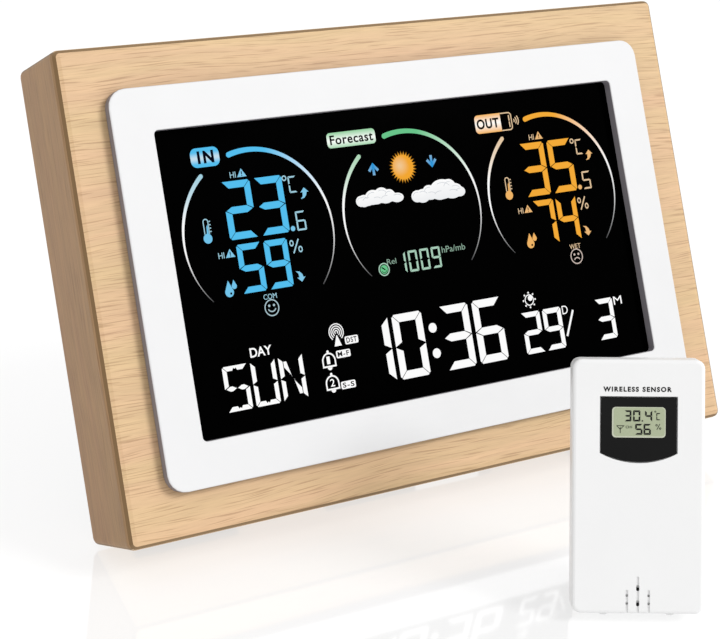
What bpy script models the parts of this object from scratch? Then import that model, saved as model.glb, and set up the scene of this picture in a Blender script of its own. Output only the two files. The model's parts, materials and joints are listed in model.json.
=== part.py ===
"""Home weather station: a display console in a wooden frame, and its wireless outdoor sensor.

Sizes are in millimetres and angles in degrees; meshes are made in metres, +Z up.
Each of the two devices is modelled in its own upright frame, X to the right, Y to the back
and Z up, with its front face at Y = 0. An empty then leans it back on its rear bottom edge.
"""
import math

import bmesh
import bpy
from mathutils import Euler, Vector

MM = 0.001
GAP = 0.3                  # clearance between pieces that touch on the real object
CORNER_STEPS = 5           # segments in each rounded corner
FEW_STEPS = 2              # the same on small details
EDGE_STEPS = 3             # segments across each rounded edge

# Console: driving dimensions
CASE_W = 216.0
CASE_H = 146.0
CASE_D = 35.0
CASE_WALL = 8.0
CASE_FRONT = 9.0           # thickness of the wooden front
CASE_EDGE = 2.4
MID = CASE_H / 2           # height of the display's centre
LEAN = 19.3                # how far the console leans back
BEZEL_W = 189.6
BEZEL_H = 118.6
BEZEL_PROUD = 3.6
BEZEL_CORNER = 5.6
COLLAR_W = 180.4           # the bezel's collar, which passes through the wooden front
COLLAR_H = 109.0
WINDOW_W = 164.4
WINDOW_H = 92.2
WINDOW_DEPTH = 3.5         # from the bezel's face to the display window
STACK_W = 171.8            # the display's layers, inside the collar
STACK_H = 100.4
LAYER_H = 89.6             # the layers between the two rubber connectors
COVER_FACE = CASE_D - GAP  # outer face of the rear cover
COVER_T = 2.5
COVER_IN = COVER_FACE - COVER_T

# Console: rear stand
STAND_W = 60.0
STAND_T = 3.4
STAND_REACH = 92.2         # hinge pin to the centre of the rubber foot
STAND_AXIS_Y = 32.2
STAND_AXIS_Z = 96.0
STAND_FOOT_R = 1.9
PIN_R = 1.25
FOOT_BACK = 33.0           # rear edge of the foot pads, the edge that the console leans on
FOOT_DROP = 1.2            # how far the pads reach below the wood

# Console: keys, battery, connector
KEY_NAMES = ("key_set", "key_alarm", "key_channel", "key_down", "key_up", "key_light")
KEY_W = 13.0
KEY_H = 7.0
KEY_PITCH = 21.0
KEY_Z = 121.0
CELL_R = 5.25
CELL_L = 43.5              # without the positive nub
NUB_L = 1.0
BAY_X = 64.0
BAY_Z = 50.0
BAY_L = 52.0
BAY_H = 22.4
JACK_X = -78.0
JACK_Z = 20.0
SCREW_X = 94.2
SCREW_Z = 59.2             # above and below MID
KEYHOLE_X = 54.0           # wall-hanging slots
KEYHOLE_Z = 96.0

# Sensor: driving dimensions
SENSOR_W = 36.5
SENSOR_H = 70.0
SENSOR_D = 19.0
SENSOR_SPLIT = 8.0         # depth of the front shell
SENSOR_INSET = 1.2         # the rear shell is lower than the front shell by this, at each end
SENSOR_SIDE_INSET = 2.0    # and narrower by this on each side
SENSOR_EDGE = 1.5
SENSOR_BACK_T = 2.6        # rear wall
SENSOR_LEAN = 15.0
SENSOR_TURN = -31.0
SENSOR_X = 5.65            # from the console's middle
SENSOR_Y = -85.38          # from the console's wooden front at the floor
BAIL_R = 0.8
BAIL_X = 15.5              # the legs' widest place, beside the lugs
BAIL_FOOT_X = 13.4
BAIL_LUG_X = 13.4
BAIL_AXIS_Y = 20.3
BAIL_AXIS_Z = 24.0
BAIL_REACH = 21.4
LCD_Z = SENSOR_H - 17.4
LCD_W = 15.2
LCD_H = 9.0
SENSOR_BAY_Z = 34.6
SENSOR_BAY_H = 52.0
SENSOR_BAY_W = 2 * (2 * CELL_R + GAP) + 2 * GAP
CELL_AXIS_Y = SENSOR_D - 1.7 - GAP - CELL_R
SENSOR_SCREW_Z = 3.9

FINISHES = {               # base colour, roughness, metallic
    "wood": ((0.62, 0.42, 0.25), 0.55, 0.0),
    "white_plastic": ((0.88, 0.88, 0.87), 0.35, 0.0),
    "black_plastic": ((0.03, 0.03, 0.03), 0.5, 0.0),
    "clear_window": ((0.02, 0.02, 0.025), 0.08, 0.0),
    "display_glass": ((0.01, 0.01, 0.012), 0.1, 0.0),
    "backlight": ((0.8, 0.82, 0.85), 0.4, 0.0),
    "tint": ((0.2, 0.4, 0.7), 0.4, 0.0),
    "board": ((0.02, 0.16, 0.07), 0.45, 0.0),
    "resin": ((0.015, 0.015, 0.015), 0.3, 0.0),
    "rubber": ((0.05, 0.05, 0.05), 0.85, 0.0),
    "connector_rubber": ((0.7, 0.45, 0.4), 0.8, 0.0),
    "steel": ((0.6, 0.6, 0.6), 0.3, 1.0),
    "ferrite": ((0.08, 0.08, 0.085), 0.6, 0.0),
    "copper": ((0.72, 0.35, 0.18), 0.3, 1.0),
    "battery": ((0.12, 0.3, 0.5), 0.35, 0.3),
    "ribbon": ((0.55, 0.55, 0.58), 0.5, 0.0),
}


def clear_scene():
    for obj in list(bpy.data.objects):
        bpy.data.objects.remove(obj, do_unlink=True)


def make_finishes():
    made = {}
    for name, (colour, roughness, metallic) in FINISHES.items():
        material = bpy.data.materials.new(name)
        material.use_nodes = True
        shader = material.node_tree.nodes["Principled BSDF"]
        shader.inputs["Base Color"].default_value = (*colour, 1.0)
        shader.inputs["Roughness"].default_value = roughness
        shader.inputs["Metallic"].default_value = metallic
        made[name] = material
    return made


# Outlines and solids

def ring(width, height, radius, y, x=0.0, z=0.0, steps=CORNER_STEPS):
    """Rounded rectangle that faces Y, anticlockwise from its right side."""
    points = []
    for corner in range(4):
        centre_x = x + (width / 2 - radius) * (1 if corner in (0, 3) else -1)
        centre_z = z + (height / 2 - radius) * (1 if corner in (0, 1) else -1)
        for step in range(steps + 1):
            angle = math.pi / 2 * (corner + step / steps)
            points.append((centre_x + radius * math.cos(angle), y,
                           centre_z + radius * math.sin(angle)))
    return points


def disc(radius, y, steps=CORNER_STEPS):
    """Circle with as many points as a rounded rectangle, so that the two can be joined."""
    return ring(2 * radius, 2 * radius, radius, y, steps=steps)


def cross(arm, half, y):
    """Plus sign with as many points as a rounded rectangle."""
    corners = [(arm, -half), (arm, half), (half, half), (half, arm), (-half, arm), (-half, half),
               (-arm, half), (-arm, -half), (-half, -half), (-half, -arm), (half, -arm), (half, -half)]
    points = []
    for (x0, z0), (x1, z1) in zip(corners, corners[1:] + corners[:1]):
        points += [(x0, y, z0), ((x0 + x1) / 2, y, (z0 + z1) / 2)]
    return points[1:] + points[:1]


def loft(rings, closed=False):
    """Skin a list of outlines; the first and last are filled, or joined when closed."""
    bm = bmesh.new()
    loops = [[bm.verts.new(Vector(point) * MM) for point in points] for points in rings]
    pairs = list(zip(loops, loops[1:]))
    if closed:
        pairs.append((loops[-1], loops[0]))
    for one, other in pairs:
        for i in range(len(one)):
            j = (i + 1) % len(one)
            bm.faces.new((one[i], one[j], other[j], other[i]))
    if not closed:
        bm.faces.new(loops[0][::-1])
        bm.faces.new(loops[-1])
    bmesh.ops.remove_doubles(bm, verts=bm.verts, dist=1e-6)
    bmesh.ops.recalc_face_normals(bm, faces=bm.faces)
    return bm


def edge_arc(radius):
    """(inset, depth) pairs round a quarter circle, or one sharp corner."""
    if not radius:
        return [(0.0, 0.0)]
    angles = [math.pi / 2 * step / EDGE_STEPS for step in range(EDGE_STEPS + 1)]
    return [(radius * (1 - math.sin(a)), radius * (1 - math.cos(a))) for a in angles]


def rounded_rings(width, height, corner, y0, y1, front=0.0, back=0.0, x=0.0, z=0.0,
                  steps=CORNER_STEPS):
    """Outlines from y0 to y1, pulled in at each end to round that edge."""
    ends = [(inset, y0 + depth) for inset, depth in edge_arc(front)]
    ends += [(inset, y1 - depth) for inset, depth in reversed(edge_arc(back))]
    return [ring(width - 2 * inset, height - 2 * inset, max(corner - inset, 0.05), y, x, z, steps)
            for inset, y in ends]


def slab(width, height, corner, y0, y1, front=0.0, back=0.0, x=0.0, z=0.0, steps=CORNER_STEPS):
    return loft(rounded_rings(width, height, corner, y0, y1, front, back, x, z, steps))


def turned(profile, steps=CORNER_STEPS):
    """Round solid about the Y axis from (radius, y) pairs."""
    return loft([disc(radius, y, steps) for radius, y in profile])


def tube(path, radius, sides=8):
    """Round bar along a list of points."""
    points = [Vector(point) for point in path]
    rings = []
    normal = None
    for i, point in enumerate(points):
        tangent = (points[min(i + 1, len(points) - 1)] - points[max(i - 1, 0)]).normalized()
        normal = tangent.orthogonal() if normal is None else normal - normal.dot(tangent) * tangent
        normal.normalize()
        side = tangent.cross(normal)
        turns = [2 * math.pi * k / sides for k in range(sides)]
        rings.append([point + radius * (math.cos(a) * normal + math.sin(a) * side) for a in turns])
    return loft(rings)


def add(name, bm, finish, parent, at=(0, 0, 0), turn=(0, 0, 0)):
    """Make one named object from a finished mesh; at is in millimetres, turn in degrees."""
    mesh = bpy.data.meshes.new(name)
    bm.to_mesh(mesh)
    bm.free()
    mesh.shade_smooth()
    mesh.set_sharp_from_angle(angle=math.radians(35))
    mesh.materials.append(MATERIALS[finish])
    obj = bpy.data.objects.new(name, mesh)
    bpy.context.scene.collection.objects.link(obj)
    obj.location = Vector(at) * MM
    obj.rotation_euler = [math.radians(angle) for angle in turn]
    obj.parent = parent
    return obj


def empty(name, at, turn, parent=None):
    obj = bpy.data.objects.new(name, None)
    bpy.context.scene.collection.objects.link(obj)
    obj.location = Vector(at) * MM
    obj.rotation_euler = [math.radians(angle) for angle in turn]
    obj.parent = parent
    return obj


def combine(target, operation, bm, at=(0, 0, 0), turn=(0, 0, 0)):
    """Cut a tool out of the target, or join it on, with a Boolean."""
    tool = add(target.name + "_tool", bm, "steel", target.parent, at, turn)
    tool.hide_render = True
    tool.display_type = "WIRE"
    modifier = target.modifiers.new(tool.name, "BOOLEAN")
    modifier.operation = operation
    modifier.object = tool


def cut(target, bm, at=(0, 0, 0), turn=(0, 0, 0)):
    combine(target, "DIFFERENCE", bm, at, turn)


def join(target, bm, at=(0, 0, 0), turn=(0, 0, 0)):
    combine(target, "UNION", bm, at, turn)


# Shapes used more than once

def screw_mesh(head_r, head_t, shank_r, length):
    """Pan-head screw with a cross recess, its head's face at Y = 0 and its tip at -Y."""
    recess = 0.6 * head_t
    profile = [(0.35 * shank_r, -length), (shank_r, 1.2 - length), (shank_r, -head_t),
               (head_r, -head_t), (head_r, -0.35 * head_t), (0.8 * head_r, 0.0)]
    rings = [disc(radius, y) for radius, y in profile]
    rings += [cross(0.52 * head_r, 0.16 * head_r, y) for y in (0.0, -recess)]
    return loft(rings)


def cell_mesh():
    """AAA cell along Y: its flat end at 0 and its positive nub at the far end."""
    return turned([(CELL_R - 0.4, 0.0), (CELL_R, 0.4), (CELL_R, CELL_L - 0.4), (CELL_R - 0.4, CELL_L),
                   (1.9, CELL_L), (1.9, CELL_L + NUB_L)])


def spring_mesh(radius, length, turns):
    """Contact spring along Y, from 0 to its length."""
    wire = 0.35
    steps = 10
    count = int(turns * steps)
    path = []
    for i in range(count + 1):
        angle = 2 * math.pi * i / steps
        path.append((radius * math.cos(angle), wire + (length - 2 * wire) * i / count,
                     radius * math.sin(angle)))
    return tube(path, wire, 4)


# Console

def wood_frame(console):
    outer = rounded_rings(CASE_W, CASE_H, CASE_EDGE, 0, CASE_D, CASE_EDGE, CASE_EDGE, z=MID)
    hole = (COLLAR_W + 2 * GAP, COLLAR_H + 2 * GAP, 4.0)
    pocket = (CASE_W - 2 * CASE_WALL, CASE_H - 2 * CASE_WALL, 3.0)
    inner = [ring(*pocket, CASE_D, z=MID), ring(*pocket, CASE_FRONT, z=MID),
             ring(*hole, CASE_FRONT, z=MID), ring(*hole, 0, z=MID)]
    frame = add("wood_frame", loft(outer + inner, closed=True), "wood", console)
    notch = slab(STAND_W + 3, CASE_WALL + 4, 1.0, 28.0, CASE_D + 2, z=CASE_WALL / 2 - 1)
    cut(frame, notch)


def front_bezel(console):
    face = -BEZEL_PROUD
    lip = face + WINDOW_DEPTH - GAP
    outer = rounded_rings(BEZEL_W, BEZEL_H, BEZEL_CORNER, face, -GAP, front=0.5, z=MID)
    shape = [ring(COLLAR_W, COLLAR_H, 3.7, y, z=MID) for y in (-GAP, CASE_FRONT)]
    shape += [ring(STACK_W + 2 * GAP, STACK_H + 2 * GAP, 1.5, y, z=MID) for y in (CASE_FRONT, lip)]
    shape += [ring(WINDOW_W, WINDOW_H, 1.4, y, z=MID) for y in (lip, face + 0.2)]
    shape.append(ring(WINDOW_W + 0.4, WINDOW_H + 0.4, 1.6, face, z=MID))
    add("front_bezel", loft(outer + shape, closed=True), "white_plastic", console)


def display_stack(console):
    """Window, glass, colour film and light guide, each a gap behind the last."""
    y = WINDOW_DEPTH - BEZEL_PROUD
    layers = (("display_lens", STACK_W, STACK_H, 1.2, "clear_window", 0.0),
              ("lcd_panel", STACK_W, STACK_H, 2.4, "display_glass", 0.0),
              ("colour_film", 168.0, LAYER_H, 0.3, "tint", 0.0),
              ("light_guide", 166.0, LAYER_H, 3.0, "backlight", 1.6))
    for name, width, height, thick, finish, shift in layers:
        add(name, slab(width, height, 0.8, y, y + thick, x=shift, z=MID), finish, console)
        if name == "light_guide":
            lamps = slab(2.6, 80.0, 0.4, y, y + thick, x=shift - width / 2 - GAP - 1.3, z=MID)
            add("led_strip", lamps, "board", console)
        y += thick + GAP
    rear = CASE_FRONT + GAP + 2.4
    outer = [ring(STACK_W, LAYER_H, 1.0, depth, z=MID) for depth in (y, rear)]
    inner = [ring(150.0, 70.0, 2.0, depth, z=MID) for depth in (rear, y)]
    add("display_holder", loft(outer + inner, closed=True), "black_plastic", console)
    glass_back = WINDOW_DEPTH - BEZEL_PROUD + 1.2 + 2.4 + 2 * GAP
    for name, side in (("zebra_strip_upper", 1), ("zebra_strip_lower", -1)):
        strip = slab(160.0, 2.0, 0.3, glass_back, rear, z=MID + side * (LAYER_H / 2 + 1.8))
        add(name, strip, "connector_rubber", console)


def inner_chassis(console):
    """Ring behind the wooden front with four posts that the cover's screws enter."""
    y0 = CASE_FRONT + GAP
    y1 = y0 + 2.4
    outer = [ring(CASE_W - 2 * CASE_WALL - 2, CASE_H - 2 * CASE_WALL - 2, 2.5, y, z=MID) for y in (y0, y1)]
    inner = [ring(STACK_W + 2 * GAP, STACK_H + 2 * GAP, 1.5, y, z=MID) for y in (y1, y0)]
    chassis = add("inner_chassis", loft(outer + inner, closed=True), "black_plastic", console)
    for x in (-SCREW_X, SCREW_X):
        for z in (MID - SCREW_Z, MID + SCREW_Z):
            post = turned([(3.8, y1 - 1), (3.8, COVER_IN - GAP), (1.7, COVER_IN - GAP), (1.7, y1 + 6)], 3)
            join(chassis, post, at=(x, 0, z))


def electronics(console):
    board_y = CASE_FRONT + 2 * GAP + 2.4
    board_back = board_y + 1.6
    y = board_back + GAP
    add("main_pcb", slab(184.0, 106.0, 1.0, board_y, board_back, z=MID), "board", console)
    blob = [(7.5, 0), (7.0, 0.8), (5.2, 1.6), (2.5, 2.0)]
    add("controller_blob", turned(blob), "resin", console, at=(-40, y, 84))
    add("radio_receiver", slab(22.0, 12.0, 0.8, y, y + 3.2, back=0.6, x=58.0, z=92.0), "steel", console)
    rod_y = y + 5.6
    add("ferrite_rod", turned([(3.6, -28), (4.0, -27.6), (4.0, 27.6), (3.6, 28)]), "ferrite", console,
        at=(-4, rod_y, 22), turn=(0, 0, 90))
    sleeve = [disc(radius, y) for radius, y in ((4.3, -13), (5.2, -13), (5.2, 13), (4.3, 13))]
    add("ferrite_winding", loft(sleeve, closed=True), "copper", console, at=(-4, rod_y, 22),
        turn=(0, 0, 90))
    buzzer = turned([(10.5, 0), (11.0, 0.4), (11.0, 3.6), (2.5, 3.6), (2.5, 3.0)])
    add("buzzer", buzzer, "black_plastic", console, at=(-62, COVER_IN - GAP - 3.6, 60))
    probe = slab(7.0, 9.0, 0.8, COVER_IN - GAP - 3.0, COVER_IN - GAP, back=0.5, x=-84.0, z=84.0)
    add("climate_probe", probe, "white_plastic", console)
    key_board = COVER_IN - 8.2
    add("key_board", slab(128.0, 12.0, 0.8, key_board, key_board + 1.6, z=KEY_Z), "board", console)
    mat = add("keypad_mat", slab(126.0, 11.0, 1.0, key_board + 1.9, key_board + 2.9, z=KEY_Z),
              "rubber", console)
    for i in range(len(KEY_NAMES)):
        dome = turned([(3.4, 2.4), (3.4, 3.0), (2.6, 3.9)], FEW_STEPS)
        join(mat, dome, at=(key_x(i), key_board, KEY_Z))
    ribbon_cable(console, board_back, key_board)


def ribbon_cable(console, board_back, key_board):
    """Flat cable that curves from the main board up to the key board."""
    thick = 0.5
    start = board_back + GAP
    end = key_board - GAP
    bend = (end - start - thick) / 2
    centre = []
    for step in range(9):
        centre.append((start + thick / 2 + bend * (1 - math.cos(math.pi * step / 8)),
                       KEY_Z - 14 + 16 * step / 8))
    rings = []
    for i, (y, z) in enumerate(centre):
        before = centre[max(i - 1, 0)]
        after = centre[min(i + 1, len(centre) - 1)]
        slope = Vector((after[0] - before[0], after[1] - before[1])).normalized()
        off_y = slope.y * thick / 2
        off_z = slope.x * thick / 2
        rings.append([(-38, y - off_y, z + off_z), (-22, y - off_y, z + off_z),
                      (-22, y + off_y, z - off_z), (-38, y + off_y, z - off_z)])
    add("ribbon_cable", loft(rings), "ribbon", console)


def key_x(index):
    return (index - (len(KEY_NAMES) - 1) / 2) * KEY_PITCH


def keys(console):
    """Oval caps held behind the cover by a flange, each with a stem over its rubber dome."""
    face = COVER_FACE + 0.9
    for i, name in enumerate(KEY_NAMES):
        cap = rounded_rings(KEY_W, KEY_H, KEY_H / 2, COVER_IN - GAP, face, back=0.6, steps=4)
        flange = [ring(KEY_W + 2.4, KEY_H + 2.4, KEY_H / 2 + 1.2, y, steps=4)
                  for y in (COVER_IN - GAP - 1.0, COVER_IN - GAP)]
        stem = [disc(2.0, y, 4) for y in (COVER_IN - 2.8, COVER_IN - GAP - 1.0)]
        rings = [[(x, y - face, z) for x, y, z in points] for points in stem + flange + cap]
        add(name, loft(rings), "black_plastic", console, at=(key_x(i), face, KEY_Z))


def rear_cover(console):
    inner_w = CASE_W - 2 * CASE_WALL - 2 * GAP
    inner_h = CASE_H - 2 * CASE_WALL - 2 * GAP
    plate = slab(inner_w, inner_h, 2.7, COVER_IN, COVER_FACE, back=0.6, z=MID)
    cover = add("rear_cover", plate, "black_plastic", console)
    bottom = MID - inner_h / 2

    pocket_floor = COVER_FACE - 5.5
    top = STAND_AXIS_Z + 4.5
    pan = (STAND_W + 8, top + 2.5 - bottom - GAP, 1.0)
    join(cover, slab(*pan, pocket_floor - 1.5, COVER_IN + 0.4, z=bottom + GAP + pan[1] / 2))
    well = (BAY_L + 3, BAY_H + 3, 1.0)
    well_floor = COVER_FACE - 1.7 - 2 * CELL_R - 2 * GAP
    join(cover, slab(*well, well_floor - 1.2, COVER_IN + 0.4, x=BAY_X, z=BAY_Z))

    cut(cover, slab(STAND_W + 2, top + 20, 1.0, pocket_floor, CASE_D + 5, z=top / 2 - 10))
    cut(cover, tube([(-STAND_W / 2 - 3.4, 0, 0), (STAND_W / 2 + 3.4, 0, 0)], PIN_R + GAP, 16),
        at=(0, STAND_AXIS_Y, STAND_AXIS_Z))
    cut(cover, slab(BAY_L, BAY_H, 0.6, well_floor, CASE_D + 5, x=BAY_X, z=BAY_Z))
    door = battery_door_size()
    cut(cover, slab(door[0] + 2 * GAP, door[1] + 2 * GAP, 2.0 + GAP, COVER_FACE - 1.7, CASE_D + 5,
                    x=BAY_X, z=BAY_Z))
    for i in range(len(KEY_NAMES)):
        cut(cover, slab(KEY_W + 0.8, KEY_H + 0.8, KEY_H / 2 + 0.4, COVER_IN - 2, CASE_D + 5,
                        x=key_x(i), z=KEY_Z, steps=4))
    for x in (-SCREW_X, SCREW_X):
        for z in (MID - SCREW_Z, MID + SCREW_Z):
            cut(cover, turned([(1.9, COVER_IN - 2), (1.9, COVER_FACE - 1.5), (3.6, COVER_FACE - 1.5),
                               (3.6, CASE_D + 5)]), at=(x, 0, z))
    cut(cover, turned([(4.3, COVER_IN - 2), (4.3, CASE_D + 5)]), at=(JACK_X, 0, JACK_Z))
    for row in range(5):
        cut(cover, slab(16, 1.8, 0.9, COVER_IN - 2, CASE_D + 5, x=-84, z=76 + 4 * row,
                        steps=FEW_STEPS))
    for spot in range(6):
        angle = math.pi / 3 * spot
        cut(cover, turned([(1.0, COVER_IN - 2), (1.0, CASE_D + 5)], FEW_STEPS),
            at=(-62 + 5 * math.cos(angle), 0, 60 + 5 * math.sin(angle)))
    for x in (-KEYHOLE_X, KEYHOLE_X):
        cut(cover, turned([(4.6, COVER_IN - 2), (4.6, CASE_D + 5)]), at=(x, 0, KEYHOLE_Z))
        cut(cover, slab(4.6, 9.0, 2.2, COVER_IN - 2, CASE_D + 5, x=x, z=KEYHOLE_Z + 5.5))


def battery_door_size():
    return BAY_L + 8.0, BAY_H + 6.0


def battery_bay(console):
    """Door, two cells that point opposite ways, and a spring and a plate for each."""
    width, height = battery_door_size()
    door_face = COVER_FACE
    door = add("battery_door", slab(width, height, 2.0, -1.4, 0, back=0.3), "black_plastic",
               console, at=(BAY_X, door_face, BAY_Z))
    for i in range(4):
        join(door, slab(1.2, 12, 0.6, -0.6, 0.4, steps=FEW_STEPS),
             at=(BAY_X + width / 2 - 5 - 2.6 * i, door_face, BAY_Z))
    axis_y = COVER_FACE - 1.7 - GAP - CELL_R
    for number, side in ((1, 1), (2, -1)):
        z = BAY_Z + side * (CELL_R + GAP)
        turn = (0, 0, -90 * side)
        start = BAY_X - side * (BAY_L / 2 - 6.4)
        add("cell_%d" % number, cell_mesh(), "battery", console, at=(start, axis_y, z), turn=turn)
        spring_x = BAY_X - side * (BAY_L / 2 - GAP)
        add("battery_spring_%d" % number, spring_mesh(3.4, 5.7, 3.5), "steel", console,
            at=(spring_x, axis_y, z), turn=turn)
        plate = slab(9.0, 9.0, 1.0, 0, 0.4)
        plate_x = BAY_X + side * (BAY_L / 2 - GAP - 0.4)
        add("battery_plate_%d" % number, plate, "steel", console, at=(plate_x, axis_y, z), turn=turn)


def dc_jack(console):
    rings = [ring(9.0, 10.0, 0.8, y) for y in (COVER_IN - 11, COVER_IN - GAP)]
    rings += [disc(3.9, y) for y in (COVER_IN - GAP, COVER_FACE + 0.2)]
    rings += [disc(2.9, y) for y in (COVER_FACE + 0.2, COVER_FACE - 9)]
    rings += [disc(1.0, y) for y in (COVER_FACE - 9, COVER_FACE - 1)]
    add("dc_jack", loft(rings), "resin", console, at=(JACK_X, 0, JACK_Z))


def cover_screws(console):
    for number in range(4):
        x = SCREW_X * (1 if number in (0, 3) else -1)
        z = MID + SCREW_Z * (1 if number < 2 else -1)
        add("cover_screw_%d" % (number + 1), screw_mesh(3.1, 1.1, 1.4, 11.0), "steel", console,
            at=(x, COVER_FACE - GAP - 0.1, z))


def rear_stand(console):
    """Plate on a hinge pin, opened until its rubber foot meets the floor."""
    pin = Euler((math.radians(-LEAN), 0, 0)).to_matrix() @ Vector(
        (0, STAND_AXIS_Y - FOOT_BACK, STAND_AXIS_Z + FOOT_DROP))
    opening = LEAN + math.degrees(math.acos((pin.z - STAND_FOOT_R) / STAND_REACH))
    hinge = empty("stand_axis", (0, STAND_AXIS_Y, STAND_AXIS_Z), (opening, 0, 0), console)
    end = STAND_REACH - STAND_FOOT_R - GAP
    half = STAND_T / 2
    plate = slab(STAND_W, end - 1.5, 3.0, -half, half, front=0.6, back=0.6, z=-1.5 - (end - 1.5) / 2)
    stand = add("fold_out_stand", plate, "black_plastic", hinge)
    join(stand, tube([(-STAND_W / 2, 0, 0), (STAND_W / 2, 0, 0)], 2.6, 20))
    cut(stand, tube([(-STAND_W, 0, 0), (STAND_W, 0, 0)], PIN_R + GAP, 16))
    cut(stand, slab(STAND_W - 16, end - 26, 3.0, half - 1.0, half + 2, z=-end / 2 - 3))
    for i in range(3):
        join(stand, slab(STAND_W - 15, 1.4, 0.5, half - 1.4, half - 0.2,
                         z=-end / 2 + 18 * (i - 1) - 3, steps=FEW_STEPS))
    add("stand_foot", tube([(-24, 0, 0), (24, 0, 0)], STAND_FOOT_R, 20), "rubber", hinge,
        at=(0, 0, -STAND_REACH))
    add("stand_pin", tube([(-STAND_W / 2 - 2.8, 0, 0), (STAND_W / 2 + 2.8, 0, 0)], PIN_R, 16),
        "steel", console, at=(0, STAND_AXIS_Y, STAND_AXIS_Z))


def foot_pads(console):
    for name, side in (("foot_pad_left", -1), ("foot_pad_right", 1)):
        pad = slab(34.0, FOOT_DROP - GAP, 0.3, FOOT_BACK - 6, FOOT_BACK, x=side * 80,
                   z=-GAP - (FOOT_DROP - GAP) / 2)
        add(name, pad, "rubber", console)


def build_console(console):
    wood_frame(console)
    front_bezel(console)
    display_stack(console)
    inner_chassis(console)
    electronics(console)
    rear_cover(console)
    keys(console)
    battery_bay(console)
    dc_jack(console)
    cover_screws(console)
    rear_stand(console)
    foot_pads(console)


# Sensor

def window_ring(grow, y):
    """Outline of the sensor's dark window: square corners above, one shallow arc below."""
    half = 10.4 + grow
    top = SENSOR_H - 10.4 + grow
    side = SENSOR_H - 25.8
    sag = 2.4 + grow
    radius = (half * half + sag * sag) / (2 * sag)
    spread = math.asin(half / radius)
    points = [(half, y, top), (-half, y, top)]
    for step in range(11):
        angle = spread * (step / 5 - 1)
        points.append((radius * math.sin(angle), y, side - sag + radius * (1 - math.cos(angle))))
    return points


def sensor_front_shell(sensor):
    rings = rounded_rings(SENSOR_W, SENSOR_H, 2.5, 0, SENSOR_SPLIT, front=1.0, z=SENSOR_H / 2)
    rings += [ring(SENSOR_W - 3, SENSOR_H - 3, 1.4, y, z=SENSOR_H / 2) for y in (SENSOR_SPLIT, 1.6)]
    shell = add("sensor_front_shell", loft(rings), "white_plastic", sensor)
    join(shell, turned([(2.4, 1.2), (2.4, SENSOR_SPLIT), (1.2, SENSOR_SPLIT), (1.2, 3.0)]),
         at=(0, 0, SENSOR_SCREW_Z))
    for side in (-1, 1):
        nub = turned([(1.3, -0.4), (1.3, 0.5), (0.9, 0.8)], FEW_STEPS)
        join(shell, nub, at=(side * 9.2, 3.4, 0), turn=(-90, 0, 0))
    cut(shell, loft([window_ring(0.3, -2), window_ring(0.3, 1.1)]))
    cut(shell, slab(LCD_W, LCD_H, 0.6, -2, 3, z=LCD_Z))
    for x, top in ((0.0, 10.3), (-3.0, 6.6), (3.0, 6.6)):
        cut(shell, slab(0.7, top + 4, 0.2, -2, 0.35, x=x, z=top / 2 - 2, steps=FEW_STEPS))
    for z in (7.1, 2.9):
        cut(shell, slab(0.9, 1.7, 0.4, -2, 1.1, z=z, steps=FEW_STEPS))
    for x in (-3.0, 3.0):
        for z in (5.0, 2.8):
            cut(shell, turned([(0.4, -2), (0.4, 1.1)], FEW_STEPS), at=(x, 0, z))


def sensor_rear_shell(sensor):
    width = SENSOR_W - 2 * SENSOR_SIDE_INSET
    height = SENSOR_H - 2 * SENSOR_INSET
    y0 = SENSOR_SPLIT + GAP
    rings = rounded_rings(width, height, 2.5, y0, SENSOR_D, back=SENSOR_EDGE, z=SENSOR_H / 2)
    rings = rings[::-1]
    rings += [ring(width - 3, height - 3, 1.2, y, z=SENSOR_H / 2) for y in (y0, SENSOR_D - SENSOR_BACK_T)]
    shell = add("sensor_rear_shell", loft(rings), "white_plastic", sensor)
    floor = CELL_AXIS_Y - CELL_R - GAP
    join(shell, slab(SENSOR_BAY_W + 2, SENSOR_BAY_H + 2, 0.8, floor - 0.9, SENSOR_D - 1.2, z=SENSOR_BAY_Z))
    join(shell, turned([(2.6, SENSOR_SPLIT + GAP), (2.6, SENSOR_D - 1.2)]), at=(0, 0, SENSOR_SCREW_Z))
    for side in (-1, 1):
        lug = slab(1.8, 4.4, 0.8, SENSOR_D - BAIL_AXIS_Y - 0.8, 1.9, back=0.6, x=side * BAIL_LUG_X)
        join(shell, lug, at=(0, BAIL_AXIS_Y, BAIL_AXIS_Z))
    cut(shell, tube([(-18, 0, 0), (-12.1, 0, 0)], BAIL_R + GAP, 12), at=(0, BAIL_AXIS_Y, BAIL_AXIS_Z))
    cut(shell, tube([(12.1, 0, 0), (18, 0, 0)], BAIL_R + GAP, 12), at=(0, BAIL_AXIS_Y, BAIL_AXIS_Z))
    cut(shell, slab(SENSOR_BAY_W, SENSOR_BAY_H, 0.5, floor, SENSOR_D + 4, z=SENSOR_BAY_Z))
    cut(shell, slab(SENSOR_BAY_W + 2 + 2 * GAP, SENSOR_BAY_H + 3 + 2 * GAP, 1.5, SENSOR_D - 1.7,
                    SENSOR_D + 4, z=SENSOR_BAY_Z))
    cut(shell, slab(10.0, 2.8, 0.6, SENSOR_D - 4, SENSOR_D + 4, z=65.0))
    cut(shell, turned([(1.3, SENSOR_SPLIT - 2), (1.3, SENSOR_D - 2.0), (2.4, SENSOR_D - 2.0),
                       (2.4, SENSOR_D + 4)]), at=(0, 0, SENSOR_SCREW_Z))


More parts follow.
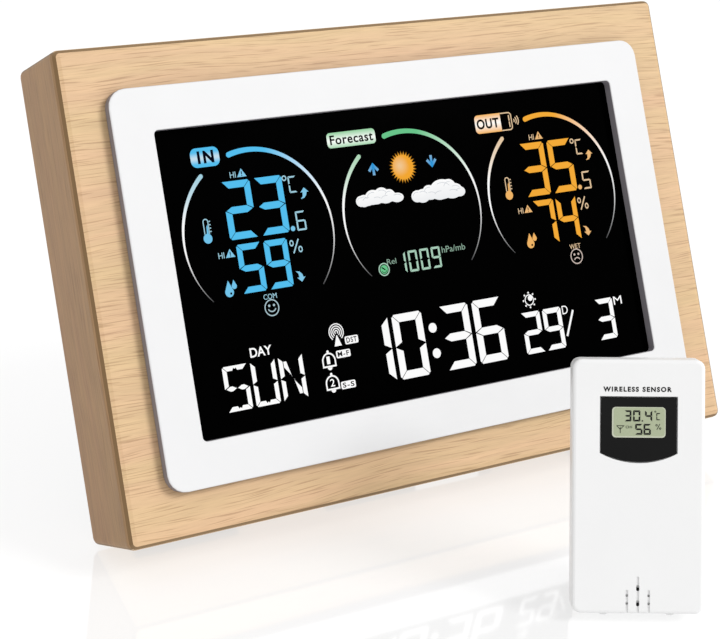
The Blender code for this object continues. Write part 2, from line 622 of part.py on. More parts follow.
def sensor_inside(sensor):
    add("sensor_window", loft([window_ring(0, 0.1), window_ring(0, 0.8)]), "clear_window", sensor)
    add("sensor_lcd", slab(17.4, 11.2, 0.5, 1.9, 3.5, z=LCD_Z), "display_glass", sensor)
    add("sensor_pcb", slab(32.0, 56.0, 0.8, 3.8, 4.8, z=38.0), "board", sensor)
    add("sensor_probe", turned([(0.7, 0), (1.2, 0.5), (1.2, 1.3), (0.7, 1.8)]), "resin", sensor,
        at=(-6.5, 3.0, 4.6))
    door = slab(SENSOR_BAY_W + 2, SENSOR_BAY_H + 3, 1.2, -1.4, 0, back=0.3)
    door = add("sensor_battery_door", door, "white_plastic", sensor, at=(0, SENSOR_D, SENSOR_BAY_Z))
    for i in range(3):
        join(door, slab(9, 0.9, 0.4, -0.6, 0.35, steps=FEW_STEPS),
             at=(0, SENSOR_D, SENSOR_BAY_Z + SENSOR_BAY_H / 2 - 3 - 2.2 * i))
    for number, side in ((1, 1), (2, -1)):
        x = side * (CELL_R + GAP)
        turn = (90 * side, 0, 0)
        start = SENSOR_BAY_Z - side * (SENSOR_BAY_H / 2 - 6.8)
        add("sensor_cell_%d" % number, cell_mesh(), "battery", sensor, at=(x, CELL_AXIS_Y, start),
            turn=turn)
        spring_z = SENSOR_BAY_Z - side * (SENSOR_BAY_H / 2 - GAP)
        add("sensor_spring_%d" % number, spring_mesh(3.4, 6.1, 3.5), "steel", sensor,
            at=(x, CELL_AXIS_Y, spring_z), turn=turn)
    back = -SENSOR_BACK_T - GAP
    knob = [ring(6.0, 4.0, 0.4, y) for y in (back - 1.6, back)]
    knob += [ring(2.4, 2.0, 0.3, y) for y in (back, 0.5)]
    add("sensor_channel_switch", loft(knob), "black_plastic", sensor, at=(0, SENSOR_D, 65.0))
    add("sensor_screw", screw_mesh(2.0, 0.9, 0.9, 12.0), "steel", sensor,
        at=(0, SENSOR_D - 0.8, SENSOR_SCREW_Z))


def sensor_bail(sensor):
    """Wire stand whose ends turn in the rear shell's lugs, opened until it meets the floor."""
    edge = Vector((0, SENSOR_D - SENSOR_EDGE, SENSOR_INSET + SENSOR_EDGE))
    tilt = Euler((math.radians(-SENSOR_LEAN), 0, 0)).to_matrix()
    axis = tilt @ (Vector((0, BAIL_AXIS_Y, BAIL_AXIS_Z)) - edge)
    height = axis.z + SENSOR_EDGE
    opening = SENSOR_LEAN + math.degrees(math.acos((height - BAIL_R) / BAIL_REACH))
    hinge = empty("bail_axis", (0, BAIL_AXIS_Y, BAIL_AXIS_Z), (opening, 0, 0), sensor)
    bend = 1.8
    taper = -math.degrees(math.asin((BAIL_X - BAIL_FOOT_X) / (BAIL_REACH - 2 * bend)))
    right = [(BAIL_LUG_X - 0.6, 0, 0)]
    for x, centre_z, first, last in ((BAIL_X, -bend, 90, taper), (BAIL_FOOT_X, bend - BAIL_REACH, taper, -90)):
        for step in range(5):
            angle = math.radians(first + (last - first) * step / 4)
            right.append((x - bend + bend * math.cos(angle), 0, centre_z + bend * math.sin(angle)))
    left = [(-x, y, z) for x, y, z in reversed(right)]
    add("sensor_bail", tube(right + left, BAIL_R, 10), "steel", hinge)


def build_sensor(sensor):
    sensor_front_shell(sensor)
    sensor_rear_shell(sensor)
    sensor_inside(sensor)
    sensor_bail(sensor)


# Placing

def console_place():
    """The foot pads' rear edge is the line that the console turns back about."""
    turned_edge = Euler((math.radians(-LEAN), 0, 0)).to_matrix() @ Vector((0, FOOT_BACK, -FOOT_DROP))
    return -turned_edge


def sensor_place():
    """The rear shell's rounded bottom edge rests on the floor."""
    tilt = Euler((math.radians(-SENSOR_LEAN), 0, 0)).to_matrix()
    edge = tilt @ Vector((0, SENSOR_D - SENSOR_EDGE, SENSOR_INSET + SENSOR_EDGE))
    return Vector((SENSOR_X, SENSOR_Y - FOOT_BACK, SENSOR_EDGE - edge.z))


def centre_on_origin(roots):
    """Move both devices so that the middle of their common box is over the origin."""
    bpy.context.view_layer.update()
    depsgraph = bpy.context.evaluated_depsgraph_get()
    lows = [math.inf, math.inf]
    highs = [-math.inf, -math.inf]
    for obj in bpy.context.scene.objects:
        if obj.type != "MESH" or obj.hide_render:
            continue
        mesh = obj.evaluated_get(depsgraph).data
        for vertex in mesh.vertices:
            point = obj.matrix_world @ vertex.co
            for axis in (0, 1):
                lows[axis] = min(lows[axis], point[axis])
                highs[axis] = max(highs[axis], point[axis])
    for root in roots:
        root.location.x -= (lows[0] + highs[0]) / 2
        root.location.y -= (lows[1] + highs[1]) / 2


clear_scene()
MATERIALS = make_finishes()
CONSOLE = empty("console", console_place(), (-LEAN, 0, 0))
SENSOR = empty("sensor", sensor_place(), (-SENSOR_LEAN, 0, SENSOR_TURN))
build_console(CONSOLE)
build_sensor(SENSOR)
centre_on_origin((CONSOLE, SENSOR))
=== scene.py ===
"""Looks of a home weather station: a wooden display console and its small wireless sensor."""

import json
import math

import bmesh
import bpy
from mathutils import Matrix, Vector


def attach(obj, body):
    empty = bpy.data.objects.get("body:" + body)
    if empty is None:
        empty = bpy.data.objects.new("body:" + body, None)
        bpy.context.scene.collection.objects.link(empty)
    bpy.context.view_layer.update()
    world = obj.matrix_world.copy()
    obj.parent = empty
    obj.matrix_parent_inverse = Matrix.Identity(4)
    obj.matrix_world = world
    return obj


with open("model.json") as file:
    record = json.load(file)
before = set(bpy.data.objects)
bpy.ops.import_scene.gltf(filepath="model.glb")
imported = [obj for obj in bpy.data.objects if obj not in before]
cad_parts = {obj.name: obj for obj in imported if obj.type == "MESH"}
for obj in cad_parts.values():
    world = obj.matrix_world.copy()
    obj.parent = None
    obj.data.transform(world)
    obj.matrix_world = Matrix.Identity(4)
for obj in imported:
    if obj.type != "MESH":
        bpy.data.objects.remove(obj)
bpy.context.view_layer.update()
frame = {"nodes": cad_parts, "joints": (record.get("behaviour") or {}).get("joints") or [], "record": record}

MM = 0.001


# ---------------------------------------------------------------- places from the frame

def turned(back):
    """Rotation of an upright piece whose back faces the given way."""
    back = Vector(back).normalized()
    right = back.cross(Vector((0, 0, 1))).normalized()
    return Matrix((right, back, right.cross(back))).transposed()


def corners(turn, node):
    """Lowest and highest corners of a node, measured along turned axes."""
    points = [turn.transposed() @ vertex.co for vertex in frame["nodes"][node].data.vertices]
    low = Vector([min(point[i] for point in points) for i in range(3)])
    high = Vector([max(point[i] for point in points) for i in range(3)])
    return low, high


JOINTS = {joint["name"]: joint for joint in frame["joints"]}
CONSOLE = turned(JOINTS["battery_door_lift"]["axis"])
SENSOR = turned(JOINTS["sensor_battery_door_lift"]["axis"])
LEAN = math.asin(-JOINTS["battery_door_lift"]["axis"][2])


def front_face(turn, node, x=None, z=None):
    """Drawing plane on a node's front: x to the right, y up, z towards the viewer."""
    low, high = corners(turn, node)
    middle = (low + high) / 2
    centre = Vector((middle.x if x is None else x, low.y, middle.z if z is None else z))
    axes = Matrix((turn.col[0], turn.col[2], -turn.col[1])).transposed()
    return Matrix.Translation(turn @ centre) @ axes.to_4x4()


def rear_face(turn, node, piece):
    """Drawing plane on a node's back, seen from behind and in line with the middle of a piece."""
    low, high = corners(turn, piece)
    centre = Vector(((low.x + high.x) / 2, corners(turn, node)[1].y, (low.z + high.z) / 2))
    axes = Matrix((-turn.col[0], turn.col[2], turn.col[1])).transposed()
    return Matrix.Translation(turn @ centre) @ axes.to_4x4()


# ---------------------------------------------------------------- colours

def rgb(red, green, blue):
    """Linear colour from its screen values."""
    return tuple(
        value / 255 / 12.92 if value <= 10 else ((value / 255 + 0.055) / 1.055) ** 2.4
        for value in (red, green, blue)
    )


def mixed(first, second, share):
    """Colour between two others."""
    share = min(max(share, 0.0), 1.0)
    return tuple(a + (b - a) * share for a, b in zip(first, second))


BLACK = rgb(0, 0, 0)
WHITE = rgb(252, 252, 252)
SKY = rgb(84, 190, 238)
SKY_PALE = rgb(160, 206, 222)
MINT = rgb(104, 196, 138)
MINT_PALE = rgb(168, 205, 184)
AMBER = rgb(243, 170, 56)
AMBER_PALE = rgb(226, 196, 158)
ARROW_BLUE = rgb(24, 146, 216)
ARROW_PALE = rgb(128, 178, 214)
SUN_CORE = rgb(240, 202, 152)
SUN_RIM = rgb(242, 166, 48)
SUN_TIP = rgb(122, 80, 22)
LCD_GREEN = rgb(160, 168, 140)
LCD_RIM = rgb(186, 190, 170)
LCD_INK = rgb(2, 3, 2)


# ---------------------------------------------------------------- flat shapes

class Print:
    """Thin closed shapes printed on one flat face, drawn in millimetres."""

    BASE = 0.01
    THICK = 0.035

    def __init__(self, name, body, place, material, slot, stretch=1.0):
        self.name = name
        self.body = body
        self.place = place @ Matrix.Diagonal((MM, MM * stretch, MM, 1))
        self.material = material
        self.slot = slot
        self.mesh = bmesh.new()
        self.tint = self.mesh.verts.layers.float_color.new("tint")

    def flat(self, points, faces, colour, level=0):
        """Closed slab over flat faces; the colour is one value or a function of a point."""
        low = self.BASE + level * (self.THICK + self.BASE)
        rows = []
        for height in (low + self.THICK, low):
            row = [self.mesh.verts.new((x, y, height)) for x, y in points]
            for vertex, point in zip(row, points):
                value = colour(*point) if callable(colour) else colour
                vertex[self.tint] = (*value, 1.0)
            rows.append(row)
        front, back = rows
        sides = set()
        for face in faces:
            self.mesh.faces.new([front[i] for i in face])
            self.mesh.faces.new([back[i] for i in reversed(face)])
            sides.update(zip(face, list(face[1:]) + [face[0]]))
        for a, b in sorted(sides):
            if (b, a) not in sides:
                self.mesh.faces.new((front[a], back[a], back[b], front[b]))

    def shape(self, points, colour, level=0):
        area = sum(a[0] * b[1] - b[0] * a[1] for a, b in zip(points, points[1:] + points[:1]))
        points = points if area > 0 else points[::-1]
        self.flat(points, [list(range(len(points)))], colour, level)

    def band(self, left, right, colour, level=0, closed=False):
        """Strip between two rows of points, the right one on the outer side of a turn to the left."""
        count = len(left)
        faces = []
        for i in range(count if closed else count - 1):
            j = (i + 1) % count
            faces.append([i, count + i, count + j, j])
        self.flat(left + right, faces, colour, level)

    def ring(self, x, y, radius, width, colour, level=0, start=0.0, end=360.0, steps=36, tall=1.0):
        """Ring or arc of one width, given by its outer radius."""
        closed = end - start >= 360
        rows = ([], [])
        for i in range(steps if closed else steps + 1):
            angle = math.radians(start + (end - start) * i / steps)
            for row, reach in zip(rows, (radius - width, radius)):
                row.append((x + reach * math.cos(angle), y + reach * tall * math.sin(angle)))
        self.band(rows[0], rows[1], colour, level, closed)

    def disc(self, x, y, radius, colour, level=0, steps=24):
        self.shape(circle(x, y, radius, steps), colour, level)

    def line(self, points, width, colour, level=0):
        """Stroke along a path, mitred at its corners."""
        left, right = [], []
        for i, point in enumerate(points):
            here = Vector(point)
            before = (here - Vector(points[i - 1])).normalized() if i else None
            after = (Vector(points[i + 1]) - here).normalized() if i + 1 < len(points) else None
            before = before or after
            after = after or before
            along = (before + after).normalized()
            side = Vector((-along.y, along.x)) * (width / 2 / max(along.dot(after), 0.3))
            left.append(tuple(here + side))
            right.append(tuple(here - side))
        self.band(left, right, colour, level)

    def panel(self, x0, x1, y0, y1, corners_r, colour, level=0, rows=20):
        """Rounded rectangle in level rows, so that its colour can change with height."""
        left_r, right_r = corners_r
        left, right = [], []
        heights = [y0 + (y1 - y0) * (1 - math.cos(math.pi * i / rows)) / 2 for i in range(rows + 1)]
        for y in heights:
            for row, side, edge, radius in ((left, 1, x0, left_r), (right, -1, x1, right_r)):
                depth = max(radius - min(y - y0, y1 - y), 0)
                inset = radius - math.sqrt(max(radius ** 2 - depth ** 2, 0))
                row.append((edge + side * inset, y))
        self.band(left, right, colour, level)

    def text(self, words, x0, x1, y0, y1, colour, level=0, bold=0.0, spacing=1.0):
        """Words fitted into a box by their outer edges."""
        points, faces = letters(words, bold, spacing)
        low = [min(point[i] for point in points) for i in range(2)]
        high = [max(point[i] for point in points) for i in range(2)]
        fitted = [
            (x0 + (x - low[0]) * (x1 - x0) / (high[0] - low[0]),
             y0 + (y - low[1]) * (y1 - y0) / (high[1] - low[1]))
            for x, y in points
        ]
        self.flat(fitted, faces, colour, level)

    def place_it(self):
        self.mesh.transform(self.place)
        data = bpy.data.meshes.new(self.name)
        self.mesh.to_mesh(data)
        self.mesh.free()
        piece = bpy.data.objects.new(self.name, data)
        bpy.context.scene.collection.objects.link(piece)
        data.materials.append(self.material)
        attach(piece, self.body)


def circle(x, y, radius, steps):
    angles = [2 * math.pi * i / steps for i in range(steps)]
    return [(x + radius * math.cos(a), y + radius * math.sin(a)) for a in angles]


def letters(words, bold, spacing):
    """Outline points and filled faces of some words in the built-in typeface."""
    curve = bpy.data.curves.new("letters", "FONT")
    curve.body = words
    curve.offset = bold
    curve.space_character = spacing
    curve.resolution_u = 4
    writer = bpy.data.objects.new("letters", curve)
    bpy.context.scene.collection.objects.link(writer)
    filled = writer.evaluated_get(bpy.context.evaluated_depsgraph_get()).to_mesh()
    mesh = bmesh.new()
    mesh.from_mesh(filled)
    bmesh.ops.remove_doubles(mesh, verts=mesh.verts, dist=1e-5)
    mesh.verts.index_update()
    points = [(vertex.co.x, vertex.co.y) for vertex in mesh.verts]
    faces = []
    for face in mesh.faces:
        order = [vertex.index for vertex in face.verts]
        faces.append(order if face.normal.z > 0 else order[::-1])
    mesh.free()
    bpy.data.objects.remove(writer)
    bpy.data.curves.remove(curve)
    return points, faces


# ---------------------------------------------------------------- display characters

SEVEN = {
    "0": "abcdef", "1": "bc", "2": "abged", "3": "abgcd", "4": "fgbc",
    "5": "afgcd", "6": "afgedc", "7": "abc", "9": "abcdfg", "C": "afed",
}


def segments(lit, x0, x1, y0, y1, stroke, gap):
    """Corner points of the lit bars of a seven-bar character."""
    middle = (y0 + y1) / 2
    cut = 0.3 * stroke
    bars = []
    for name, edge, inward, sides in (("a", y1, -1, "fb"), ("d", y0, 1, "ec")):
        if name not in lit:
            continue
        ends = []
        for side, x, step in zip(sides, (x0, x1), (1, -1)):
            inner = (x + step * (stroke + gap), edge + inward * stroke)
            if side in lit:
                ends.append([inner, (x + step * (cut / 2 + gap), edge + inward * cut / 2),
                             (x + step * (cut + gap), edge)])
            else:
                ends.append([inner, (x + step * 0.1 * stroke, edge)])
        bars.append(ends[0] + ends[1][::-1])
    for name, x, step, y, inward, cap in (
        ("f", x0, 1, y1, -1, "a"), ("b", x1, -1, y1, -1, "a"),
        ("e", x0, 1, y0, 1, "d"), ("c", x1, -1, y0, 1, "d"),
    ):
        if name not in lit:
            continue
        bar = [(x, middle - inward * gap), (x + step * stroke, middle - inward * (stroke / 2 + gap))]
        bar.append((x + step * stroke, y + inward * (stroke + gap)))
        if cap in lit:
            bar += [(x + step * cut / 2, y + inward * (cut / 2 + gap)), (x, y + inward * (cut + gap))]
        else:
            bar.append((x, y + inward * 0.2 * stroke))
        bars.append(bar)
    if "g" in lit:
        bars.append(bar_between(x0, x1, middle, stroke, 0.12 * stroke + gap))
    return bars


def bar_between(x0, x1, y, stroke, tip):
    """Level bar with a point at each end."""
    return [
        (x0 + tip, y), (x0 + stroke + tip / 2, y - stroke / 2), (x1 - stroke - tip / 2, y - stroke / 2),
        (x1 - tip, y), (x1 - stroke - tip / 2, y + stroke / 2), (x0 + stroke + tip / 2, y + stroke / 2),
    ]


def digit(art, char, x0, x1, y0, y1, stroke, colour, gap=0.11):
    for bar in segments(SEVEN[char], x0, x1, y0, y1, stroke, gap):
        art.shape(bar, colour)


def letter_bars(art, char, x0, x1, y0, y1, stroke, colour):
    """Letter of the fourteen-bar kind, whose level bars are notched in the middle."""
    gap = 0.12
    centre = (x0 + x1) / 2
    middle = (y0 + y1) / 2
    lit = {"S": "afcd", "U": "fbecd", "N": "fbec"}[char]
    notch = 0.3 * stroke
    for bar in segments(lit, x0, x1, y0, y1, stroke, gap):
        tall = max(y for x, y in bar) - min(y for x, y in bar)
        if tall < 1.5 * stroke:
            inner = min(bar, key=lambda point: abs(point[1] - middle))[1]
            outward = 1 if inner > middle else -1
            deep = inner + outward * 0.55 * stroke
            peak = inner + outward * 0.3 * stroke
            cut = [(centre - 2 * notch, inner), (centre - notch, deep), (centre, peak),
                   (centre + notch, deep), (centre + 2 * notch, inner)]
            bar = with_notch(bar, cut, inner)
        art.shape(bar, colour)
    if char == "S":
        art.shape(bar_between(x0 + 0.3, centre - 0.05, middle, stroke, 0.15), colour)
        art.shape(bar_between(centre + 0.05, x1 - 0.3, middle, stroke, 0.15), colour)
    if char == "N":
        for side in (-1, 1):
            outer = (centre + side * 0.5 * (x1 - x0 - 2 * stroke - 0.5), middle - side * 0.38 * (y1 - y0))
            near = (centre + side * 0.25, middle - side * 0.25)
            lean_in = side * 0.95
            art.shape([outer, (outer[0] - lean_in, outer[1]), near,
                       (near[0] + 0.2 * side, near[1] - side * 0.6),
                       (outer[0], outer[1] + side * 1.6)], colour)


def with_notch(bar, cut, inner):
    """The bar's outline with a notch let into its inner edge."""
    on_edge = [i for i, point in enumerate(bar) if abs(point[1] - inner) < 1e-6]
    first, second = on_edge[0], on_edge[-1]
    if second - first != 1:
        first, second = second, first
    rightward = bar[second % len(bar)][0] > bar[first][0]
    points = cut if rightward else cut[::-1]
    return bar[:first + 1] + points + bar[first + 1:]


# ---------------------------------------------------------------- display symbols

def faded_arc(art, x, y, radius, start, end, thick, thin, shades):
    """Part of a circle with a round start that thins and fades towards its end."""
    steps = 72
    inner, outer = [], []
    fades = {}
    for i in range(steps + 1):
        share = (i / steps) ** 1.3
        angle = math.radians(start + (end - start) * share)
        width = thick + (thin - thick) * min(share / 0.85, 1.0)
        mid = radius - (thick if share < 0.02 else width) / 2
        run = radius * abs(math.radians(end - start)) * share
        if run < thick / 2:
            width *= math.sqrt(max(1 - (1 - run / (thick / 2)) ** 2, 0.02))
        place = share * (len(shades) - 1)
        index = min(int(place), len(shades) - 2)
        shade = mixed(shades[index], shades[index + 1], place - index)
        for row, reach in ((inner, mid - width / 2), (outer, mid + width / 2)):
            point = (x + reach * math.cos(angle), y + reach * math.sin(angle))
            row.append(point)
            fades[point] = shade
    if end < start:
        inner, outer = outer, inner
    art.band(inner, outer, lambda px, py: fades[(px, py)])


def dial_circle(art, x, y, colour, pale):
    """The two arcs that make up the circle round a group of readings."""
    dim = rgb(70, 70, 72)
    faded_arc(art, x, y, 25.0, 106.4, -42.7, 1.6, 0.3,
              [colour, colour, mixed(colour, WHITE, 0.45), WHITE, mixed(dim, WHITE, 0.6), dim])
    faded_arc(art, x, y, 25.0, 129.7, 222.7, 1.3, 0.22,
              [pale, mixed(pale, WHITE, 0.3), WHITE, WHITE, mixed(dim, WHITE, 0.5), dim])


def thermometer(art, x, y, colour, pale):
    """Outlined tube with a filled bulb, a column and a scale beside it."""
    art.disc(x, y, 1.4, colour)
    top = y + 4.7
    neck = y + 1.25
    art.line([(x - 0.75, neck), (x - 0.75, top)], 0.3, pale)
    art.line([(x + 0.75, neck), (x + 0.75, top)], 0.3, pale)
    art.ring(x, top + 0.02, 0.9, 0.3, pale, start=0, end=180, steps=12)
    art.shape([(x - 0.1, neck + 0.1), (x + 0.5, neck + 0.1),
               (x + 0.5, y + 3.9), (x + 0.1, y + 3.4)], colour)
    for i in range(4):
        art.line([(x + 1.0, y + 1.9 + 0.95 * i), (x + 1.5, y + 1.9 + 0.95 * i)], 0.32, pale)


def drop(art, x, y, radius, height, colour, dark):
    """Falling drop with a dark glint near its bottom."""
    start = math.radians(38)
    points = [(x, y + height)]
    for i in range(19):
        angle = start - (math.pi + 2 * start) * i / 18
        points.append((x + radius * math.cos(angle), y + radius * math.sin(angle)))
    art.shape(points, colour)
    if dark:
        art.disc(x + 0.3 * radius, y - 0.3 * radius, 0.24 * radius, BLACK, level=1, steps=12)


def warning(art, x, y, colour, pale):
    """The letters HI and a warning triangle; x and y are the left end of its base line."""
    art.text("HI", x, x + 1.9, y, y + 1.7, pale)
    art.shape([(x + 2.3, y), (x + 5.4, y), (x + 3.85, y + 2.4)], colour)
    art.line([(x + 3.85, y + 1.6), (x + 3.85, y + 0.75)], 0.3, BLACK, level=1)
    art.disc(x + 3.85, y + 0.4, 0.17, BLACK, level=1, steps=8)


def trend_arrow(art, x, y, up, colour):
    """Curved arrow whose head points straight up or down; x and y are the head's tip."""
    sign = 1 if up else -1
    art.shape([(x, y), (x + 1.4, y - sign * 1.35), (x + 0.75, y - sign * 1.3), (x + 0.45, y - sign * 2.2),
               (x - 0.35, y - sign * 3.0), (x - 1.6, y - sign * 3.2), (x - 0.8, y - sign * 2.5),
               (x - 0.65, y - sign * 1.3), (x - 1.4, y - sign * 1.35)], colour)


def percent(art, x, y, colour):
    """Percent sign centred on a point."""
    for side in (-1, 1):
        art.ring(x + side * 1.35, y - side * 1.0, 0.72, 0.32, colour, steps=16, tall=1.3)
    art.line([(x - 1.1, y - 1.95), (x + 1.1, y + 2.0)], 0.42, colour)


def celsius(art, x, y, colour):
    """Degree ring and a thin C; x is the ring's centre and y the top of the C."""
    art.ring(x, y - 0.35, 0.82, 0.36, colour, steps=16)
    digit(art, "C", x + 1.15, x + 3.8, y - 4.8, y, 0.46, colour, gap=0.1)


def face_icon(art, x, y, colour, glad):
    """Ring with two eyes and a mouth."""
    art.ring(x, y, 2.42, 0.32, colour)
    for side in (-1, 1):
        art.disc(x + side * 0.8, y + 0.65, 0.36, colour, steps=12)
    if glad:
        art.ring(x, y + 0.25, 1.5, 0.32, colour, start=205, end=335, steps=12)
    else:
        art.ring(x, y - 1.6, 1.35, 0.32, colour, start=30, end=150, steps=12)


def climate(art, x, y, hues, whole, tenths, humidity, comfort, comfort_x, warn, drops):
    """One circle of readings: temperature above, humidity below."""
    colour, pale = hues
    dial_circle(art, x, y, colour, pale)
    for i, char in enumerate(whole):
        digit(art, char, x - 9.9 + 10.7 * i, x - 0.65 + 10.65 * i, y - 0.6, y + 15.95, 2.0, colour)
    for i, char in enumerate(humidity):
        digit(art, char, x - 8.4 + 9.0 * i, x - 0.5 + 8.9 * i, y - 16.0, y - 2.1, 1.75, colour)
    art.disc(x + 11.15, y + 0.2, 0.75, mixed(colour, pale, 0.4), steps=16)
    digit(art, tenths, x + 12.6, x + 15.8, y - 0.65, y + 4.95, 0.5, pale, gap=0.05)
    celsius(art, x + 10.85, y + 15.2, pale)
    trend_arrow(art, x + 16.95, y + 11.5, True, mixed(colour, pale, 0.5))
    trend_arrow(art, x + 11.3, y - 15.2, False, mixed(colour, pale, 0.5))
    percent(art, x + 11.2, y - 4.9, pale)
    thermometer(art, x - 16.9, y + 0.8, mixed(colour, pale, 0.3), pale)
    warning(art, x + warn, y + 16.8, mixed(colour, pale, 0.5), pale)
    warning(art, x - 14.5, y - 5.3, mixed(colour, pale, 0.5), pale)
    drop(art, x - 12.4 + drops, y - 14.9, 1.4, 3.3, mixed(colour, pale, 0.3), True)
    drop(art, x - 10.6 + drops, y - 13.4, 0.82, 1.8, mixed(colour, pale, 0.3), False)
    art.text(comfort, x + comfort_x - 2.2, x + comfort_x + 2.2, y - 18.6, y - 17.1, pale)


def cloud(art, lumps):
    """Outline round a row of overlapping ellipses, each given as x, y, half width and half height."""
    left = min(x - rx for x, y, rx, ry in lumps)
    right = max(x + rx for x, y, rx, ry in lumps)
    count = 56
    upper, lower = [], []
    for i in range(1, count):
        at = left + (right - left) * (1 - math.cos(math.pi * i / count)) / 2
        reach = [(y, ry * math.sqrt(1 - ((at - x) / rx) ** 2))
                 for x, y, rx, ry in lumps if abs(at - x) < rx]
        upper.append((at, max(y + r for y, r in reach)))
        lower.append((at, min(y - r for y, r in reach)))
    soft = rgb(236, 238, 240)
    art.band(upper, lower, lambda x, y: mixed(soft, WHITE, (y - 13.5) / 4))
    for i, (x, y, rx, ry) in enumerate(lumps):
        start, end = (25, 120) if i % 2 else (70, 165)
        curl = [(x + 0.72 * rx * math.cos(math.radians(start + (end - start) * step / 8)),
                 y + 0.66 * ry * math.sin(math.radians(start + (end - start) * step / 8)))
                for step in range(9)]
        art.line(curl, 0.16, rgb(204, 208, 213), level=1)


def sun(art, x, y):
    """Bright disc inside a ring of short rays that fade towards their tips."""
    rays = 28
    disc_r = 3.65

    def glow(px, py):
        return mixed(SUN_CORE, SUN_RIM, math.hypot(px - x + 1.0, py - y - 0.5) / 3.2)

    hub = circle(x, y, 0.6, 2 * rays)
    art.shape(hub, glow)
    reach = 0.6
    for next_reach in (1.5, 2.4, 3.1, disc_r):
        art.band(circle(x, y, reach, 2 * rays), circle(x, y, next_reach, 2 * rays), glow, closed=True)
        reach = next_reach
    for i in range(rays):
        angle = 2 * math.pi * i / rays

        def at(reach, turn):
            return x + reach * math.cos(angle + turn), y + reach * math.sin(angle + turn)

        tip = at(disc_r + 1.3, 0.0)
        art.shape([at(disc_r + 0.02, -0.085), tip, at(disc_r + 0.02, 0.085)],
                  lambda px, py: mixed(SUN_RIM, SUN_TIP, (math.hypot(px - x, py - y) - disc_r) / 1.3))


def trend_chevron(art, x, y, up):
    """Broad arrow with a separate stem, pale towards its ends."""
    sign = 1 if up else -1

    def shade(px, py):
        return mixed(ARROW_BLUE, ARROW_PALE, abs(px - x) / 1.9)

    def stem_shade(px, py):
        return mixed(ARROW_PALE, ARROW_BLUE, (sign * (py - y) + 1.9) / 2)

    art.line([(x - 1.6, y - sign * 0.6), (x, y + sign * 1.2), (x + 1.6, y - sign * 0.6)], 0.85, shade)
    art.shape([(x - 0.45, y - sign * 1.9), (x + 0.45, y - sign * 1.9), (x + 0.38, y + sign * 0.1),
               (x, y + sign * 0.5), (x - 0.38, y + sign * 0.1)], stem_shade)


def tag(art, words, x0, x1, y0, y1):
    """White label with black words."""
    art.panel(x0, x1, y0, y1, (0.45, 0.45), WHITE, rows=8)
    art.text(words, x0 + 0.5, x1 - 0.5, y0 + 0.4, y1 - 0.35, BLACK, level=1, bold=0.02, spacing=1.2)


def bell(art, x, y, number):
    """Outlined bell with a number in it; y is its lower edge."""
    half = 2.1
    dome = [(x - half, y + 0.25), (x - half, y + 1.9)]
    for i in range(1, 16):
        angle = math.pi - math.pi * i / 16
        dome.append((x + half * math.cos(angle), y + 1.9 + 2.1 * math.sin(angle)))
    dome += [(x + half, y + 1.9), (x + half, y + 0.25)]
    art.line(dome, 0.46, WHITE)
    art.shape([(x - half - 0.28, y), (x + half + 0.28, y),
               (x + half + 0.1, y + 0.5), (x - half - 0.1, y + 0.5)], WHITE)
    art.disc(x, y + 4.5, 0.42, WHITE, steps=12)
    art.ring(x, y - 0.03, 0.8, 0.78, WHITE, start=180, end=360, steps=12)
    left, right = (0.75, 0.35) if number == "1" else (0.75, 0.75)
    art.text(number, x - left, x + right, y + 0.95, y + 3.15, WHITE, bold=0.012)


def mast(art, x, y):
    """Radio mast: open rings round the top of a tapered tower."""
    for i in range(4):
        art.ring(x, y, 0.62 + 0.65 * i, 0.3, WHITE, start=-52, end=232)
    art.shape([(x - 1.25, y - 4.0), (x + 1.25, y - 4.0), (x + 0.12, y - 0.9), (x - 0.12, y - 0.9)], WHITE)


def day_and_night(art, x, y):
    """Small ring with rays and a moon inside."""
    art.ring(x, y, 1.75, 0.33, WHITE)
    art.disc(x + 0.42, y + 0.5, 0.85, WHITE, steps=18)
    for i in range(8):
        angle = math.pi * i / 4
        art.disc(x + 2.25 * math.cos(angle), y + 2.25 * math.sin(angle), 0.3, WHITE, steps=10)


# ---------------------------------------------------------------- the console's display

ART_TALL = 1.066      # the drawing is stretched upwards by this much to fill the window
ART_RIGHT = 0.6       # and sits this far to the right of its middle


def sheen(edge, core, low, high, peak, spread):
    """Colour that brightens towards one level, as behind a lit label."""
    return lambda x, y: mixed(core, edge, abs(y - (low + (high - low) * peak)) / ((high - low) * spread))


